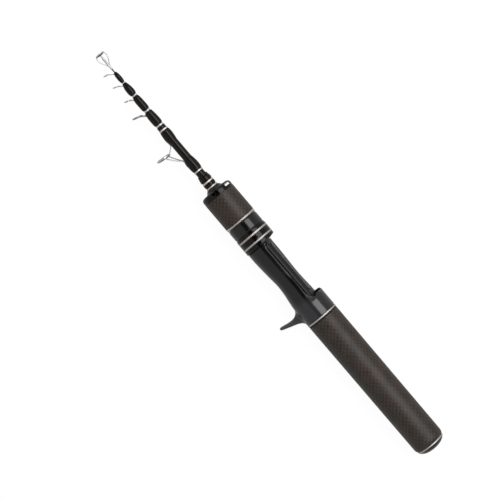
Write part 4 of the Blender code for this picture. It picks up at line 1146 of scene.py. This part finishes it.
def moving_hood():
    """The sliding hood with two sunk bands, its back edge swept forward over the deck, and its key inside."""
    front, back, radius, bore = 184.9, 199.56, 14.1, 13.75
    outline = [(front, radius - 0.5), (front + 0.5, radius - 0.32), (front + 1.9, radius)]
    for start, end in HOOD_BANDS:
        outline += [(start - 0.06, radius), (start - 0.06, radius - 0.25), (end + 0.06, radius - 0.25),
                    (end + 0.06, radius)]
    stations = (HOOD_SWEEP, 197.4, 198.6)
    outline += [(station, radius) for station in stations] + [(back, radius), (back, bore)]
    outline += [(station, bore) for station in reversed(stations)]
    outline += [(188.3, bore), (188.3, 12.3), (front, 12.3)]

    def swept_back(point, angle, radius):
        station = (point.x + HALF_LENGTH) / MM
        high = max(0.0, point.z / MM - 3.0)
        point.x -= 0.17 * high * max(0.0, station - HOOD_SWEEP) / 3.3 * MM
        return point

    base = lathe("moving_hood", eased(in_mm(outline), 0.09 * MM), 128, warp=swept_back)
    key = box("moving_hood_key", (185.2 * MM, -5.8 * MM, 7.3 * MM), (188.6 * MM, 5.8 * MM, 12.5 * MM))
    combined(base, [key], "UNION")
    finished(base, "moving_hood", look="deep_black")


def lock_nut():
    front, back, radius = 175.0, 184.6, 13.75
    outline = [(front, radius - 0.4), (front + 0.25, radius - 0.15), (front + 0.45, radius - 0.15),
               (front + 0.9, radius - 0.5), (front + 1.35, radius), (back - 0.5, radius),
               (back, radius - 0.3), (back + 0.02, 13.2), (back + 0.24, 13.2), (back + 0.24, NUT_BORE),
               (front, NUT_BORE)]
    turned_piece("lock_nut", outline, 0.12, SIDES)


# Butt, in millimetres
PLUG_FRONT = 400.26
PLUG_RADIUS = 6.0
PLUG_PITCH = 1.5
PLUG_THREAD_DEPTH = 0.35
CAP_SHOULDER = 408.36
CAP_END = 412.85
CAP_DOME = ((408.36, 11.9), (408.5, 12.1), (409.4, 11.35), (410.4, 10.15), (411.25, 8.7), (411.95, 6.8),
            (412.5, 4.3))


def butt_group():
    """The unscrewing cap with its threaded plug, and the insert that it screws into."""
    outline = [(389.3, 9.0), (407.3, 9.0), (407.3, 6.3), (398.3, 6.3), (398.3, 4.9), (389.3, 4.9)]
    turned_piece("butt_insert", outline, 0.2, 64)
    turned_piece("butt_seal", [(407.36, 8.2), (407.94, 8.2), (407.94, 6.3), (407.36, 6.3)], 0.2, 64)
    turned_piece("butt_cushion", [(398.6, 0), (398.6, 5.2), (400.2, 5.2), (400.2, 0)], 0.3, 48, False)
    outline = [(PLUG_FRONT, 0), (PLUG_FRONT, 5.5), (PLUG_FRONT + 0.5, PLUG_RADIUS)]
    outline += [(PLUG_FRONT + 0.6 + 0.12 * k, PLUG_RADIUS) for k in range(76)]
    outline += [(CAP_SHOULDER, PLUG_RADIUS), (CAP_SHOULDER, 12.0)]
    outline += curved(CAP_DOME, 4) + [(CAP_END - 0.06, 2.0), (CAP_END, 0)]

    def cut_thread(point, angle, radius):
        station = (point.x + HALF_LENGTH) / MM
        if radius > 5.9 * MM and PLUG_FRONT + 0.55 < station < CAP_SHOULDER - 0.9:
            wave = thread_wave(station / PLUG_PITCH, angle)
            point = widened(point, 1 - PLUG_THREAD_DEPTH * MM * (1 - min(1, 1.5 * wave)) / radius)
        return point

    base = lathe("butt_cap", in_mm(outline), 96, warp=cut_thread, sharp=40)
    finished(base, "butt_cap", look="deep_black")


# Build
tip_blank()
tip_ferrule()
tip_ring()
sliding_sections()
section_six()
butt_section()
front_cap()
grips()
rings()
seat_barrel()
deck_pad()
palm_shell()
rear_hood()
moving_hood()
lock_nut()
butt_group()

for label in ("fore_grip_core", "rear_grip_core"):
    core = frame["nodes"][label]
    core.data.materials.clear()
    core.data.materials.append(LOOKS["grip_foam"])


# Studio
FLOOR_REACH = 6.0
FLOOR_COLOUR = (0.86, 0.86, 0.86)
FLOOR_GLOW_SHARE = 0.93
WHITE = (1, 1, 1, 1)
WORLD_LEVEL = 0.5
WORLD_LEVEL_AHEAD = 1.1
GAP_LEVEL = 0.03
GAP_EDGES = ((-16, -10), (25, 14))
CAMERA_TURN = 49.6


def studio_floor():
    """A plain pale floor that the camera and glossy surfaces see as nearly white, with a faint shadow."""
    shape = bmesh.new()
    bmesh.ops.create_grid(shape, x_segments=2, y_segments=2, size=FLOOR_REACH)
    mesh = bpy.data.meshes.new("studio_floor")
    shape.to_mesh(mesh)
    shape.free()
    made = new_object("studio_floor", mesh, Matrix.Identity(4))
    look = Look("studio_floor", FLOOR_COLOUR, 0.9, Specular_IOR_Level=0.1)
    rays = look.add("LightPath")
    camera = rays["Is Camera Ray"]
    glow = look.add("Emission", {"Color": WHITE, "Strength": look.ranged(camera, 0.55, 1.03)})[0]
    seen = look.maths("MAXIMUM", camera, rays["Is Glossy Ray"])
    surface = look.nodes["Principled BSDF"].outputs[0]
    look.shader_mix(look.times(seen, FLOOR_GLOW_SHARE), surface, glow, "Material Output")
    made.data.materials.append(look.material)


def studio_world():
    """Even soft light, white to the camera, with a dim gap overhead between the soft box and the far wall."""
    world = bpy.data.worlds.new("studio")
    bpy.context.scene.world = world
    tree = Tree(world)
    split = tree.add("SeparateXYZ", {0: tree.add("TexCoord")["Generated"]})
    tilt = tree.maths("ARCTAN2", tree.times(split[1], -1), split[2])
    edges = [tree.ranged(tilt, 0, 1, math.radians(start), math.radians(end), "SMOOTHSTEP")
             for start, end in GAP_EDGES]
    level = tree.ranged(tree.times(*edges), 1, GAP_LEVEL)
    ahead = tree.ranged(split[0], WORLD_LEVEL, WORLD_LEVEL_AHEAD, -0.5, -0.95, "SMOOTHSTEP")
    light = tree.nodes["Background"]
    light.inputs["Color"].default_value = WHITE
    tree.plug(tree.times(level, ahead), light.inputs["Strength"])
    white = tree.add("Background", {"Color": WHITE})[0]
    camera = tree.add("LightPath")["Is Camera Ray"]
    tree.shader_mix(camera, light.outputs[0], white, "World Output")


def soft_box(name, low, high, height, radiance):
    """A lamp over the rod that faces straight down, between two (x, y) corners."""
    lamp = bpy.data.lights.new(name, "AREA")
    lamp.shape = "RECTANGLE"
    lamp.size = high[0] - low[0]
    lamp.size_y = high[1] - low[1]
    lamp.energy = radiance * math.pi * lamp.size * lamp.size_y
    made = new_object(name, lamp, Matrix.Identity(4))
    made.location = ((low[0] + high[0]) / 2, (low[1] + high[1]) / 2, height)


def studio_camera():
    lens = bpy.data.cameras.new("camera")
    lens.sensor_width = 36
    lens.lens = 108
    lens.clip_start = 0.01
    lens.clip_end = 20
    made = new_object("camera", lens, Matrix.Identity(4))
    made.location = (-10.03 * MM, AXIS.y - 9.65 * MM, AXIS.z + 1.2)
    made.rotation_euler = (0, 0, math.radians(CAMERA_TURN))
    bpy.context.scene.camera = made


studio_floor()
studio_world()
studio_camera()
soft_box("soft_box", (-0.65, 0.26), (0.65, 1.12), 1.0, 2.9)
soft_box("soft_box_near", (0.1, 0.075), (0.65, 0.26), 1.0, 3.1)
soft_box("soft_box_end", (0.3, -0.24), (0.65, 0.075), 1.0, 2.2)
bpy.context.scene.view_settings.view_transform = "Standard"
